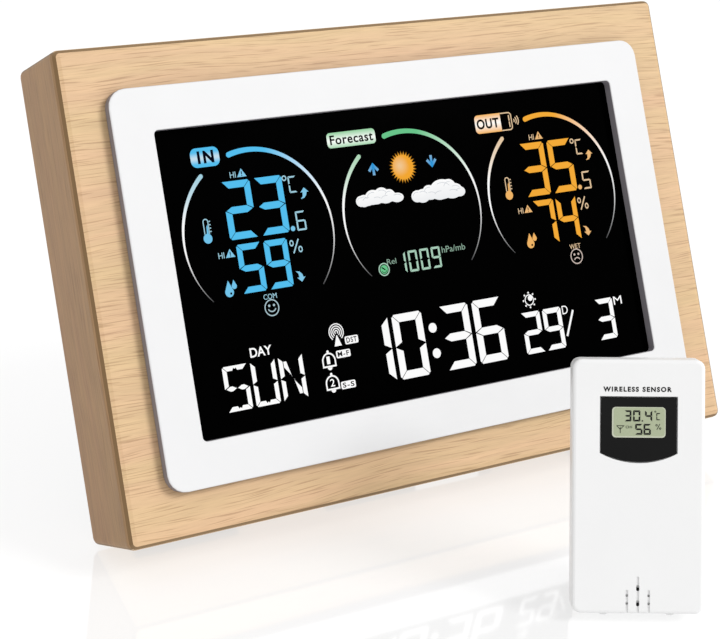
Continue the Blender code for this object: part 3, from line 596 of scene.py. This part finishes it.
def display_art(glow):
    window = front_face(CONSOLE, "display_lens") @ Matrix.Translation((ART_RIGHT * MM, 0, 0))

    def sheet(name):
        return Print(name, "console", window, glow, "display_glass", ART_TALL)

    indoor = sheet("indoor_readings")
    blue = sheen(SKY, rgb(205, 226, 238), 31.8, 37.3, 0.47, 0.3)
    indoor.panel(-71.4, -62.1, 31.8, 37.3, (1.9, 1.9), blue)
    indoor.text("IN", -69.2, -63.9, 32.8, 36.4, rgb(4, 6, 22), level=1, bold=0.04, spacing=1.3)
    climate(indoor, -53.0, 11.0, (SKY, SKY_PALE), "23", "6", "59", "COM", 0.0, -6.7, -0.4)
    face_icon(indoor, -53.0, -10.1, rgb(172, 198, 206), True)
    indoor.place_it()

    outdoor = sheet("outdoor_readings")
    cream = sheen(AMBER, rgb(255, 252, 246), 31.6, 37.3, 0.5, 0.55)
    outdoor.panel(28.5, 38.4, 31.6, 37.3, (1.3, 0.0), cream)
    outdoor.text("OUT", 29.1, 37.6, 32.9, 36.0, BLACK, level=1, bold=0.03, spacing=1.1)
    outline = [(38.5, 31.8)]
    for start, corner_y in ((-90, 32.8), (0, 36.1)):
        for i in range(7):
            angle = math.radians(start + 15 * i)
            outline.append((41.6 + math.cos(angle), corner_y + math.sin(angle)))
    outline.append((38.5, 37.1))
    outdoor.line(outline, 0.35, AMBER_PALE)
    for low, high in ((32.6, 34.3), (34.6, 36.3)):
        outdoor.line([(41.7, low), (41.7, high)], 0.4, AMBER_PALE)
    for i, reach in enumerate((0.7, 1.5, 2.3)):
        spread = 52 - 6 * i
        outdoor.ring(43.1, 34.45, reach, 0.35, AMBER_PALE, start=-spread, end=spread, steps=12)
    climate(outdoor, 53.9, 11.0, (AMBER, AMBER_PALE), "35", "5", "74", "WET", 5.2, -5.7, 0.6)
    face_icon(outdoor, 59.1, -10.0, rgb(206, 190, 180), False)
    outdoor.place_it()

    forecast = sheet("forecast")
    leaf = sheen(rgb(158, 212, 168), rgb(250, 254, 250), 32.7, 37.2, 0.45, 0.5)
    forecast.panel(-25.6, -8.5, 32.7, 37.2, (1.2, 1.2), leaf)
    forecast.text("Forecast", -24.6, -9.4, 33.6, 36.4, BLACK, level=1, bold=0.02, spacing=1.1)
    dial_circle(forecast, 0.6, 11.0, MINT, rgb(172, 214, 182))
    sun(forecast, -0.5, 24.6)
    trend_chevron(forecast, -11.1, 25.2, True)
    trend_chevron(forecast, 10.1, 25.2, False)
    cloud(forecast, [
        (-17.3, 16.2, 1.7, 1.6), (-16.2, 16.2, 2.0, 1.8), (-12.9, 16.9, 2.7, 2.2), (-9.7, 17.2, 2.6, 2.3),
        (-7.0, 16.8, 2.1, 1.9), (-4.3, 15.9, 2.3, 1.4), (-14.9, 16.1, 2.4, 1.5), (-11.7, 16.0, 2.2, 1.3),
        (-8.3, 16.0, 2.4, 1.4), (-4.6, 16.0, 2.5, 1.3),
    ])
    cloud(forecast, [
        (2.9, 15.4, 2.1, 1.8), (4.9, 15.3, 2.6, 2.05), (7.4, 16.3, 2.3, 2.0), (12.3, 16.5, 4.4, 3.0),
        (14.9, 16.9, 2.6, 2.4), (17.0, 15.8, 2.7, 2.0), (18.7, 15.1, 2.0, 1.5), (8.0, 15.2, 2.4, 1.4),
        (11.3, 15.0, 2.7, 1.6), (16.0, 14.9, 3.0, 1.6),
    ])
    for char, x in (("1", -8.2), ("0", -3.95), ("0", 0.3), ("9", 4.5)):
        digit(forecast, char, x, x + 3.25, -6.5, -0.2, 0.66, MINT_PALE, gap=0.07)
    grey_green = rgb(138, 168, 150)
    forecast.text("Rel", -11.7, -8.4, -3.3, -1.7, grey_green)
    forecast.text("hPa/mb", 8.5, 17.2, -2.4, -0.5, grey_green)
    forecast.ring(-13.1, -4.5, 1.95, 0.36, MINT_PALE)
    forecast.disc(-13.1, -4.5, 1.3, MINT)
    forecast.line([(-13.9, -3.8), (-12.7, -4.7)], 0.35, BLACK, level=1)
    forecast.ring(-13.1, -4.5, 1.02, 0.16, BLACK, level=1, start=200, end=340, steps=12)
    forecast.place_it()

    clock = sheet("clock")
    for char, x0, x1 in (("1", -25.6, -14.9), ("0", -13.4, -2.7), ("3", 4.0, 14.4), ("6", 16.0, 26.6)):
        digit(clock, char, x0, x1, -37.2, -18.1, 2.35, WHITE, gap=0.14)
    for y in (-23.85, -31.45):
        clock.disc(0.6, y, 1.45, WHITE)
    clock.place_it()

    calendar = sheet("calendar")
    calendar.text("DAY", -62.5, -55.3, -23.0, -20.3, WHITE, bold=0.02)
    for i, char in enumerate("SUN"):
        letter_bars(calendar, char, -72.2 + 9.2 * i, -64.2 + 9.2 * i, -36.9, -24.2, 1.35, WHITE)
    for char, x0, x1 in (("2", 33.8, 40.9), ("9", 42.0, 49.2), ("3", 63.1, 70.1)):
        digit(calendar, char, x0, x1, -37.1, -24.4, 1.55, WHITE)
    calendar.text("D", 49.8, 52.0, -27.0, -24.4, WHITE)
    calendar.text("M", 70.7, 74.0, -27.0, -24.4, WHITE)
    calendar.line([(50.2, -33.8), (54.0, -26.2)], 0.7, WHITE)
    day_and_night(calendar, 37.9, -20.8)
    calendar.place_it()

    alarms = sheet("alarm_symbols")
    mast(alarms, -33.1, -20.1)
    tag(alarms, "DST", -30.6, -26.0, -24.1, -21.8)
    tag(alarms, "M-F", -34.3, -29.4, -27.6, -25.4)
    tag(alarms, "S-S", -34.3, -29.3, -36.6, -34.4)
    bell(alarms, -37.05, -29.7, "1")
    bell(alarms, -37.05, -36.2, "2")
    alarms.place_it()


# ---------------------------------------------------------------- the sensor's front

SCREEN_DOWN = 6.85 * MM     # from the top of the dark window to the middle of its screen
READINGS_LIFT = 0.09 * MM   # the readings lie over the screen's two layers
VENT_DEPTH = 1.1 * MM       # how deep the vents are sunk into the sensor's front
VENT_SHADE_THICK = 0.6                  # thickness of the black slabs of painted shade in them, in millimetres


def sensor_art(ink, lcd):
    """Label, display and the vents of the sensor, with painted shade in the vents."""
    low, high = corners(SENSOR, "sensor_window")
    centre = (low.x + high.x) / 2
    label = Print("sensor_label", "sensor", front_face(SENSOR, "sensor_front_shell", centre, high.z),
                  ink, "black_plastic")
    label.text("WIRELESS SENSOR", -9.8, 9.0, 1.55, 2.95, BLACK, bold=0.042, spacing=1.3)
    label.place_it()

    pane = front_face(SENSOR, "sensor_window", centre, high.z - SCREEN_DOWN)
    screen = Print("sensor_screen", "sensor", pane, lcd, "display_glass")
    screen.panel(-7.35, 7.35, -4.2, 4.2, (1.0, 1.0), LCD_RIM)
    screen.panel(-6.9, 7.1, -3.8, 4.0, (0.8, 0.8), LCD_GREEN, level=1)
    screen.place_it()

    lifted = pane @ Matrix.Translation((0, 0, READINGS_LIFT))
    readings = Print("sensor_readings", "sensor", lifted, ink, "display_glass")
    for char, x0, x1 in (("3", -3.9, -2.05), ("0", -1.6, 0.4), ("4", 1.7, 3.65)):
        digit(readings, char, x0, x1, 0.25, 3.3, 0.48, LCD_INK, gap=0.05)
    for char, x0, x1 in (("5", -1.0, 1.0), ("6", 1.3, 3.3)):
        digit(readings, char, x0, x1, -3.4, -0.4, 0.48, LCD_INK, gap=0.05)
    readings.disc(0.95, 0.42, 0.22, LCD_INK, steps=10)
    readings.ring(4.5, 3.0, 0.26, 0.14, LCD_INK, steps=12)
    digit(readings, "C", 4.8, 5.9, 0.65, 2.6, 0.24, LCD_INK, gap=0.03)
    for side in (-1, 1):
        readings.ring(5.35 + side * 0.5, -1.2 - side * 0.45, 0.3, 0.15, LCD_INK, steps=12)
    readings.line([(4.95, -2.0), (5.75, -0.4)], 0.17, LCD_INK)
    readings.line([(-6.1, -0.95), (-4.1, -0.95), (-5.1, -1.95), (-6.1, -0.95)], 0.16, LCD_INK)
    readings.line([(-5.1, -1.3), (-5.1, -3.0)], 0.16, LCD_INK)
    readings.text("CH1", -3.6, -1.9, -1.65, -0.95, LCD_INK)
    readings.place_it()

    # painted shade: black slabs on the vents' floors, where the openings look dark
    low, high = corners(SENSOR, "sensor_front_shell")
    floors = front_face(SENSOR, "sensor_front_shell", centre, low.z)
    floors = floors @ Matrix.Translation((0, 0, -VENT_DEPTH))
    vents = Print("sensor_vent_plugs", "sensor", floors, ink, "black_plastic")
    vents.THICK = VENT_SHADE_THICK
    for z in (2.9, 7.1):
        vents.panel(-0.43, 0.43, z - 0.83, z + 0.83, (0.39, 0.39), BLACK, rows=12)
    for side in (-3, 3):
        for z in (2.8, 5.0):
            vents.disc(side, z, 0.38, BLACK, steps=12)
    vents.place_it()


# ---------------------------------------------------------------- prints on the back

KEY_WORDS = {
    "key_set": "SET", "key_alarm": "ALARM", "key_channel": "CHANNEL",
    "key_down": "DOWN", "key_up": "UP", "key_light": "LIGHT",
}
KNOB_PROUD = 0.5 * MM     # the switch's knob stands this far out of the sensor's back


def rear_prints(ink):
    """Words and marks on the back of the console and of the sensor."""
    grey = rgb(168, 168, 168)

    def on_cover(name, piece):
        return Print(name, "console", rear_face(CONSOLE, "rear_cover", piece), ink, "black_plastic")

    for key, words in KEY_WORDS.items():
        name = on_cover("word_" + key[4:], key)
        half = 0.62 * len(words)
        name.text(words, -half, half, -8.2, -6.6, grey)
        name.place_it()

    inlet = on_cover("inlet_marks", "dc_jack")
    inlet.text("DC 5V", -4.0, 4.0, 7.4, 9.0, grey)
    inlet.ring(-0.2, -8.6, 1.1, 0.28, grey, start=40, end=320, steps=20)
    inlet.disc(-0.2, -8.6, 0.45, grey, steps=12)
    for side in (-1, 1):
        inlet.line([(side * 1.3, -8.6), (side * 2.6, -8.6)], 0.28, grey)
        inlet.line([(side * 3.9 - 0.7, -8.6), (side * 3.9 + 0.7, -8.6)], 0.3, grey)
    inlet.line([(-3.9, -9.3), (-3.9, -7.9)], 0.3, grey)
    inlet.place_it()

    bay = on_cover("battery_marks", "battery_door")
    bay.text("2 x AAA  1.5V", -9.5, 9.5, -18.8, -16.9, grey)
    bay.place_it()

    shell_back = rear_face(SENSOR, "sensor_channel_switch", "sensor_channel_switch")
    shell_back = shell_back @ Matrix.Translation((0, 0, -KNOB_PROUD))
    switch = Print("channel_marks", "sensor", shell_back, ink, "white_plastic")
    for i, char in enumerate("123"):
        switch.text(char, 2.5 * i - 2.95, 2.5 * i - 2.05, 1.75, 3.05, LCD_INK)
    switch.text("CH", -8.3, -5.8, -0.7, 0.8, LCD_INK)
    switch.place_it()


# ---------------------------------------------------------------- materials

BEZEL_LOW = (0.618, 0.618, 0.622)
BEZEL_HIGH = (0.628, 0.628, 0.632)
# dark grey painted onto the bezel's walls as their shade
BEZEL_WALL_SHADE = (0.225, 0.21, 0.23)
WOOD_PINK = (0.575, 0.375, 0.220)
WOOD_MIDDLE = (0.562, 0.383, 0.215)
WOOD_YELLOW = (0.565, 0.395, 0.214)
WOOD_DARK = (0.270, 0.150, 0.070)
# dark brown painted along the rounded edges: painted shade
WOOD_EDGE_SHADE = (0.170, 0.100, 0.040)
# darkening multiplied onto the two ends of the case: painted shade
SIDE_PAINTED_SHADE = (0.57, 0.47, 0.37)


def node(tree, kind, inputs=None, **settings):
    """New shader node with its settings made and its inputs set or linked."""
    made = tree.nodes.new("ShaderNode" + kind)
    for name, value in settings.items():
        setattr(made, name, value)
    for key, value in (inputs or {}).items():
        if isinstance(value, bpy.types.NodeSocket):
            tree.links.new(value, made.inputs[key])
        else:
            made.inputs[key].default_value = value
    return made


def new_material(name, **fixed):
    """Material with one surface shader, and the fixed values of some of its inputs."""
    material = bpy.data.materials.new(name)
    material.use_nodes = True
    tree = material.node_tree
    tree.nodes.clear()
    surface = node(tree, "BsdfPrincipled")
    output = node(tree, "OutputMaterial")
    tree.links.new(surface.outputs[0], output.inputs[0])
    for key, value in fixed.items():
        surface.inputs[key.replace("_", " ")].default_value = value
    return material, tree, surface


def solid_coordinates(tree, scale=(1, 1, 1), lean=0.0):
    """Position in the piece itself, turned upright and scaled."""
    place = node(tree, "TexCoord").outputs["Object"]
    return node(tree, "Mapping", {"Vector": place, "Rotation": (lean, 0, 0), "Scale": scale}).outputs[0]


def upright_normal(tree):
    """The three parts of the surface's direction, along the axes of the console set upright."""
    normal = node(tree, "TexCoord").outputs["Normal"]
    facing = node(tree, "Mapping", {"Vector": normal, "Rotation": (LEAN, 0, 0)}).outputs[0]
    return node(tree, "SeparateXYZ", {0: facing}).outputs


def maths(tree, kind, first, second=0.0, third=0.0):
    return node(tree, "Math", {0: first, 1: second, 2: third}, operation=kind).outputs[0]


def remap(tree, value, low, high, first, last):
    """Carries a value between low and high to its place between first and last."""
    return node(tree, "MapRange", {0: value, 1: low, 2: high, 3: first, 4: last}).outputs[0]


def scaled(tree, colour, factor):
    return node(tree, "VectorMath", {0: colour, 3: factor}, operation="SCALE").outputs[0]


def blended(tree, share, first, second, kind="MIX"):
    """Mix of a colour socket and a fixed colour."""
    inputs = {0: share, 6: first, 7: (*second, 1)}
    return node(tree, "Mix", inputs, data_type="RGBA", blend_type=kind).outputs[2]


def ramp(tree, value, *stops):
    """Colour ramp from (position, colour) stops."""
    made = node(tree, "ValToRGB", {0: value})
    elements = made.color_ramp.elements
    while len(elements) < len(stops):
        elements.new(0.5)
    for element, (position, colour) in zip(elements, stops):
        element.position = position
        element.color = (*colour, 1)
    return made.outputs[0]


def noise(tree, vector, scale, detail=2.0, rough=0.5):
    inputs = {"Vector": vector, "Scale": scale, "Detail": detail, "Roughness": rough}
    return node(tree, "TexNoise", inputs).outputs[0]


def bumped(tree, surface, height, distance, strength=1.0):
    """Let a height in metres raise the surface."""
    bump = node(tree, "Bump", {"Height": height, "Distance": distance, "Strength": strength})
    tree.links.new(bump.outputs[0], surface.inputs["Normal"])


def moulded(name, colour, roughness, grain, depth, variation=0.04, **fixed):
    """Moulded plastic or rubber: fine skin texture and a slight unevenness of colour and gloss."""
    material, tree, surface = new_material(name, **fixed)
    place = solid_coordinates(tree)
    cloudy = noise(tree, place, 60.0, 3.0)
    darker = tuple(value * (1 - 2 * variation) for value in colour)
    lighter = tuple(min(value * (1 + variation), 1.0) for value in colour)
    tree.links.new(ramp(tree, cloudy, (0.3, darker), (0.7, lighter)), surface.inputs["Base Color"])
    tree.links.new(remap(tree, cloudy, 0, 1, roughness * 0.9, roughness * 1.1), surface.inputs["Roughness"])
    bumped(tree, surface, noise(tree, place, grain, 3.0, 0.6), depth)
    return material


def white_bezel_with_painted_wall_shade():
    """Satin white on the front, with painted shade: dark grey on its narrow walls, which turn away from the
    front.
    """
    material, tree, surface = new_material("white_bezel_with_painted_wall_shade", Roughness=0.4, Specular_IOR_Level=0.15)
    place = solid_coordinates(tree)
    white = ramp(tree, noise(tree, place, 60.0, 3.0), (0.3, BEZEL_LOW), (0.7, BEZEL_HIGH))
    # painted shade: walls that do not face the front are blended to dark grey
    painted_wall_shade = remap(tree, upright_normal(tree)[1], -0.62, -0.45, 0.0, 1.0)
    tree.links.new(blended(tree, painted_wall_shade, white, BEZEL_WALL_SHADE), surface.inputs["Base Color"])
    bumped(tree, surface, noise(tree, place, 1500.0, 3.0, 0.6), 0.000006)
    return material


def wood():
    """Light oak with its grain running along X, and upright on the two ends, which are darkened as painted
    shade; a painted dark line of shade runs along the rounded edges.
    """
    material, tree, surface = new_material("oak", Roughness=0.5, Specular_IOR_Level=0.3)
    x, y, z = node(tree, "SeparateXYZ", {0: solid_coordinates(tree, lean=LEAN)}).outputs
    facing_x, facing_y, facing_z = [maths(tree, "ABSOLUTE", part) for part in upright_normal(tree)]
    on_end = maths(tree, "GREATER_THAN", facing_x, 0.7)
    on_top = maths(tree, "GREATER_THAN", facing_z, 0.7)

    def choose(where, usual, there):
        return node(tree, "Mix", {0: where, 2: usual, 3: there}, data_type="FLOAT").outputs[0]

    along = choose(on_end, x, z)
    across = choose(on_end, choose(on_top, z, y), y)
    deep = choose(on_end, choose(on_top, y, z), x)

    def stretched(length, width, detail, rough=0.55, bend=None):
        """Noise drawn out along the grain: how often it changes along it and across it, per metre."""
        shifted = across if bend is None else maths(tree, "ADD", across, bend)
        place = node(tree, "CombineXYZ", {0: maths(tree, "MULTIPLY", along, length),
                                          1: maths(tree, "MULTIPLY", shifted, width),
                                          2: maths(tree, "MULTIPLY", deep, 0.25 * width)})
        return noise(tree, place.outputs[0], 1.0, detail, rough)

    sway = maths(tree, "MULTIPLY", stretched(9.0, 22.0, 2.0), 0.010)
    bands = stretched(7.0, 95.0, 2.0, 0.5, sway)
    streaks = stretched(26.0, 640.0, 3.0, 0.65, sway)
    dashes = remap(tree, stretched(70.0, 2400.0, 1.0, 0.5, sway), 0.56, 0.68, 0.0, 1.0)
    fibre = stretched(150.0, 3200.0, 2.0, 0.6, sway)

    tone = maths(tree, "MULTIPLY_ADD", streaks, 0.50, maths(tree, "MULTIPLY", fibre, 0.35))
    front_shade = remap(tree, tone, 0.30, 0.55, 1.06, 0.90)
    end_shade = remap(tree, tone, 0.32, 0.53, 1.12, 0.84)
    banded = ramp(tree, bands, (0.36, WOOD_PINK), (0.50, WOOD_MIDDLE), (0.64, WOOD_YELLOW))
    shaded = scaled(tree, banded, choose(on_end, front_shade, end_shade))
    dashed = blended(tree, maths(tree, "MULTIPLY", dashes, 0.5), shaded, WOOD_DARK)
    # painted shade: the two ends are multiplied darker than the front
    grain_and_end_shade = blended(tree, on_end, dashed, SIDE_PAINTED_SHADE, "MULTIPLY")
    # painted shade: a dark line where the surface turns round the rounded edges
    flattest = maths(tree, "MAXIMUM", maths(tree, "MAXIMUM", facing_x, facing_y), facing_z)
    painted_edge_shade = remap(tree, flattest, 0.88, 0.78, 0.0, 0.9)
    tree.links.new(blended(tree, painted_edge_shade, grain_and_end_shade, WOOD_EDGE_SHADE), surface.inputs["Base Color"])
    height = maths(tree, "MULTIPLY_ADD", dashes, -1.0, maths(tree, "MULTIPLY", fibre, 0.4))
    bumped(tree, surface, height, 0.00003, 0.5)
    return material


def lit_print():
    """Lit display print: its colour glows, under a faint surface gloss."""
    material, tree, surface = new_material("display_light", Base_Color=(0, 0, 0, 1), Roughness=0.3,
                                           IOR=1.03, Emission_Strength=1.0)
    tint = node(tree, "Attribute", attribute_name="tint").outputs["Color"]
    tree.links.new(tint, surface.inputs["Emission Color"])
    return material


def plain_print(name, roughness):
    """Ink or liquid-crystal print that takes its colour from the drawing."""
    material, tree, surface = new_material(name, Roughness=roughness, Specular_IOR_Level=0.2)
    tint = node(tree, "Attribute", attribute_name="tint").outputs["Color"]
    speck = noise(tree, solid_coordinates(tree), 2500.0, 2.0)
    tree.links.new(scaled(tree, tint, remap(tree, speck, 0, 1, 0.9, 1.06)), surface.inputs["Base Color"])
    return material


def black_window():
    """Dark polished cover sheet: nearly black, with a weak mirror gloss."""
    material, tree, surface = new_material("dark_window", IOR=1.035)
    haze = noise(tree, solid_coordinates(tree), 40.0, 3.0)
    tree.links.new(ramp(tree, haze, (0.3, 3 * [0.0002]), (0.7, 3 * [0.0003])), surface.inputs["Base Color"])
    tree.links.new(remap(tree, haze, 0, 1, 0.05, 0.12), surface.inputs["Roughness"])
    return material


def lit_table():
    """White table lit from below, with a weak mirror gloss and faint shadows."""
    material = bpy.data.materials.new("lit_table")
    material.use_nodes = True
    tree = material.node_tree
    tree.nodes.clear()
    glow = node(tree, "Emission", {"Color": (1, 1, 1, 1), "Strength": 0.655})
    matt = node(tree, "BsdfDiffuse", {"Color": (0.24, 0.24, 0.24, 1)})
    gloss = node(tree, "BsdfAnisotropic", {"Color": (0.15, 0.15, 0.15, 1), "Roughness": 0.06})
    lower = node(tree, "AddShader", {0: glow.outputs[0], 1: matt.outputs[0]})
    whole = node(tree, "AddShader", {0: lower.outputs[0], 1: gloss.outputs[0]})
    tree.links.new(whole.outputs[0], node(tree, "OutputMaterial").inputs[0])
    return material


def metal(name, colour, roughness, grain):
    """Plated or drawn metal with fine brush marks."""
    material, tree, surface = new_material(name, Metallic=1.0)
    marks = noise(tree, solid_coordinates(tree, (1, 1, 8)), grain, 4.0, 0.7)
    darker = tuple(value * 0.82 for value in colour)
    tree.links.new(ramp(tree, marks, (0.3, darker), (0.7, colour)), surface.inputs["Base Color"])
    tree.links.new(remap(tree, marks, 0, 1, roughness * 0.8, roughness * 1.3), surface.inputs["Roughness"])
    bumped(tree, surface, marks, 0.00002, 0.5)
    return material


def circuit_board():
    """Green board with paler copper tracks under its lacquer."""
    material, tree, surface = new_material("circuit_board", Roughness=0.35)
    place = solid_coordinates(tree, lean=LEAN)
    tracks = node(tree, "TexBrick", {"Vector": place, "Scale": 160.0, "Mortar Size": 0.06}).outputs["Fac"]
    colour = ramp(tree, tracks, (0.0, (0.012, 0.10, 0.035)), (1.0, (0.03, 0.20, 0.08)))
    tree.links.new(colour, surface.inputs["Base Color"])
    return material


def striped(name, first, second, scale, axis, roughness, metallic=0.0):
    """Fine parallel stripes across one axis: ribbon cable, rubber connector or wound wire."""
    material, tree, surface = new_material(name, Roughness=roughness, Metallic=metallic)
    place = solid_coordinates(tree, lean=LEAN)
    stripes = node(tree, "TexWave", {"Vector": place, "Scale": scale, "Distortion": 0.0},
                   bands_direction=axis).outputs["Fac"]
    tree.links.new(ramp(tree, stripes, (0.35, first), (0.65, second)), surface.inputs["Base Color"])
    bumped(tree, surface, stripes, 0.0001)
    return material


def cell_sleeve(name, turn, low, high, along):
    """Printed sleeve of a dry cell: a copper band at the plus end of a dark sleeve."""
    material, tree, surface = new_material(name, Roughness=0.3, Metallic=0.4)
    place = node(tree, "TexCoord").outputs["Object"]
    inputs = {0: place, 1: tuple(turn.col[along])}
    reach = node(tree, "VectorMath", inputs, operation="DOT_PRODUCT").outputs["Value"]
    share = remap(tree, reach, low[along], high[along], 0, 1)
    dark = (0.02, 0.05, 0.09)
    band = ramp(tree, share, (0.0, (0.5, 0.5, 0.5)), (0.03, dark), (0.7, dark), (0.72, (0.55, 0.27, 0.12)),
                (0.97, (0.6, 0.6, 0.6)))
    tree.links.new(band, surface.inputs["Base Color"])
    return material


def assign(material, *names):
    for name in names:
        for material_slot in frame["nodes"][name].material_slots:
            material_slot.material = material


def dress_cad():
    """Give every CAD node the material of its slot."""
    looks = {
        "wood": wood(),
        "white_plastic": moulded("white_plastic_skin", 3 * [0.735], 0.34, 1500.0, 0.000006, 0.004),
        "black_plastic": moulded("black_plastic_skin", (0.022, 0.022, 0.023), 0.5, 2200.0, 0.00003),
        "clear_window": black_window(),
        "display_glass": moulded("display_glass_sheet", (0.01, 0.01, 0.012), 0.08, 300.0, 0.000002),
        "backlight": moulded("light_guide_sheet", (0.72, 0.75, 0.78), 0.15, 900.0, 0.000004),
        "tint": striped("printed_tint_film", (0.10, 0.35, 0.60), (0.60, 0.35, 0.08), 9.0, "X", 0.2),
        "board": circuit_board(),
        "resin": moulded("moulded_resin", (0.012, 0.012, 0.012), 0.38, 2600.0, 0.00002),
        "rubber": moulded("soft_rubber", (0.03, 0.03, 0.03), 0.8, 1800.0, 0.00004, 0.08),
        "connector_rubber": striped("striped_rubber", (0.55, 0.30, 0.26), (0.05, 0.05, 0.05),
                                    1200.0, "X", 0.6),
        "steel": metal("nickel_plate", (0.62, 0.61, 0.58), 0.28, 900.0),
        "ferrite": moulded("sintered_ferrite", (0.06, 0.06, 0.065), 0.55, 1500.0, 0.00003, 0.1),
        "copper": striped("wound_copper", (0.45, 0.18, 0.07), (0.72, 0.33, 0.15), 1500.0, "X", 0.3, 0.8),
        "ribbon": striped("ribbon_cable_skin", (0.52, 0.52, 0.55), (0.38, 0.38, 0.42), 500.0, "X", 0.5),
    }
    for part in frame["record"]["subparts"]:
        if part["material_slot"] in looks:
            assign(looks[part["material_slot"]], part["node"])
    assign(white_bezel_with_painted_wall_shade(), "front_bezel")
    assign(moulded("sensor_window_sheet", 3 * [0.0105], 0.25, 900.0, 0.000004, IOR=1.1), "sensor_window")
    for name in ("cell_1", "cell_2"):
        assign(cell_sleeve(name + "_sleeve", CONSOLE, *corners(CONSOLE, name), 0), name)
    for name in ("sensor_cell_1", "sensor_cell_2"):
        assign(cell_sleeve(name + "_sleeve", SENSOR, *corners(SENSOR, name), 2), name)


# ---------------------------------------------------------------- studio

CAMERA_PLACE = (-0.26871, -0.42837, 0.23283)
CAMERA_TURN = math.radians(29.537)      # to the right of straight ahead
CAMERA_DIP = math.radians(14.875)       # below level
CAMERA_LENS = 87.47
CAMERA_SHIFT = (-0.0444, -0.1434)
SUN_FROM = (0.40, -0.55, 0.45)
FLOOR_HALF = 8.0


def studio():
    """Camera, even white light, a soft sun from the right and the white table."""
    scene = bpy.context.scene
    scene.view_settings.view_transform = "Standard"

    camera = bpy.data.cameras.new("camera")
    camera.lens = CAMERA_LENS
    camera.sensor_width = 36.0
    camera.shift_x, camera.shift_y = CAMERA_SHIFT
    viewer = bpy.data.objects.new("camera", camera)
    viewer.location = CAMERA_PLACE
    viewer.rotation_euler = (math.pi / 2 - CAMERA_DIP, 0, -CAMERA_TURN)
    scene.collection.objects.link(viewer)
    scene.camera = viewer

    world = bpy.data.worlds.new("studio")
    world.use_nodes = True
    sky = world.node_tree.nodes["Background"]
    sky.inputs[0].default_value = (1.0, 1.0, 1.0, 1)
    sky.inputs[1].default_value = 0.85
    scene.world = world

    lamp = bpy.data.lights.new("key_light", "SUN")
    lamp.energy = 2.0
    lamp.angle = math.radians(22)
    light = bpy.data.objects.new("key_light", lamp)
    light.rotation_euler = Vector(SUN_FROM).to_track_quat("Z", "Y").to_euler()
    scene.collection.objects.link(light)

    half = FLOOR_HALF
    floor_corners = [(-half, -half, 0), (half, -half, 0), (half, half, 0), (-half, half, 0)]
    data = bpy.data.meshes.new("studio_floor")
    data.from_pydata(floor_corners, [], [(0, 1, 2, 3)])
    data.materials.append(lit_table())
    floor = bpy.data.objects.new("studio_floor", data)
    scene.collection.objects.link(floor)


# ---------------------------------------------------------------- making

studio()
dress_cad()
display_art(lit_print())
black_ink_and_vent_shade = plain_print("print_ink_and_vent_shade", 0.45)
sensor_art(black_ink_and_vent_shade, plain_print("liquid_crystal", 0.25))
rear_prints(black_ink_and_vent_shade)
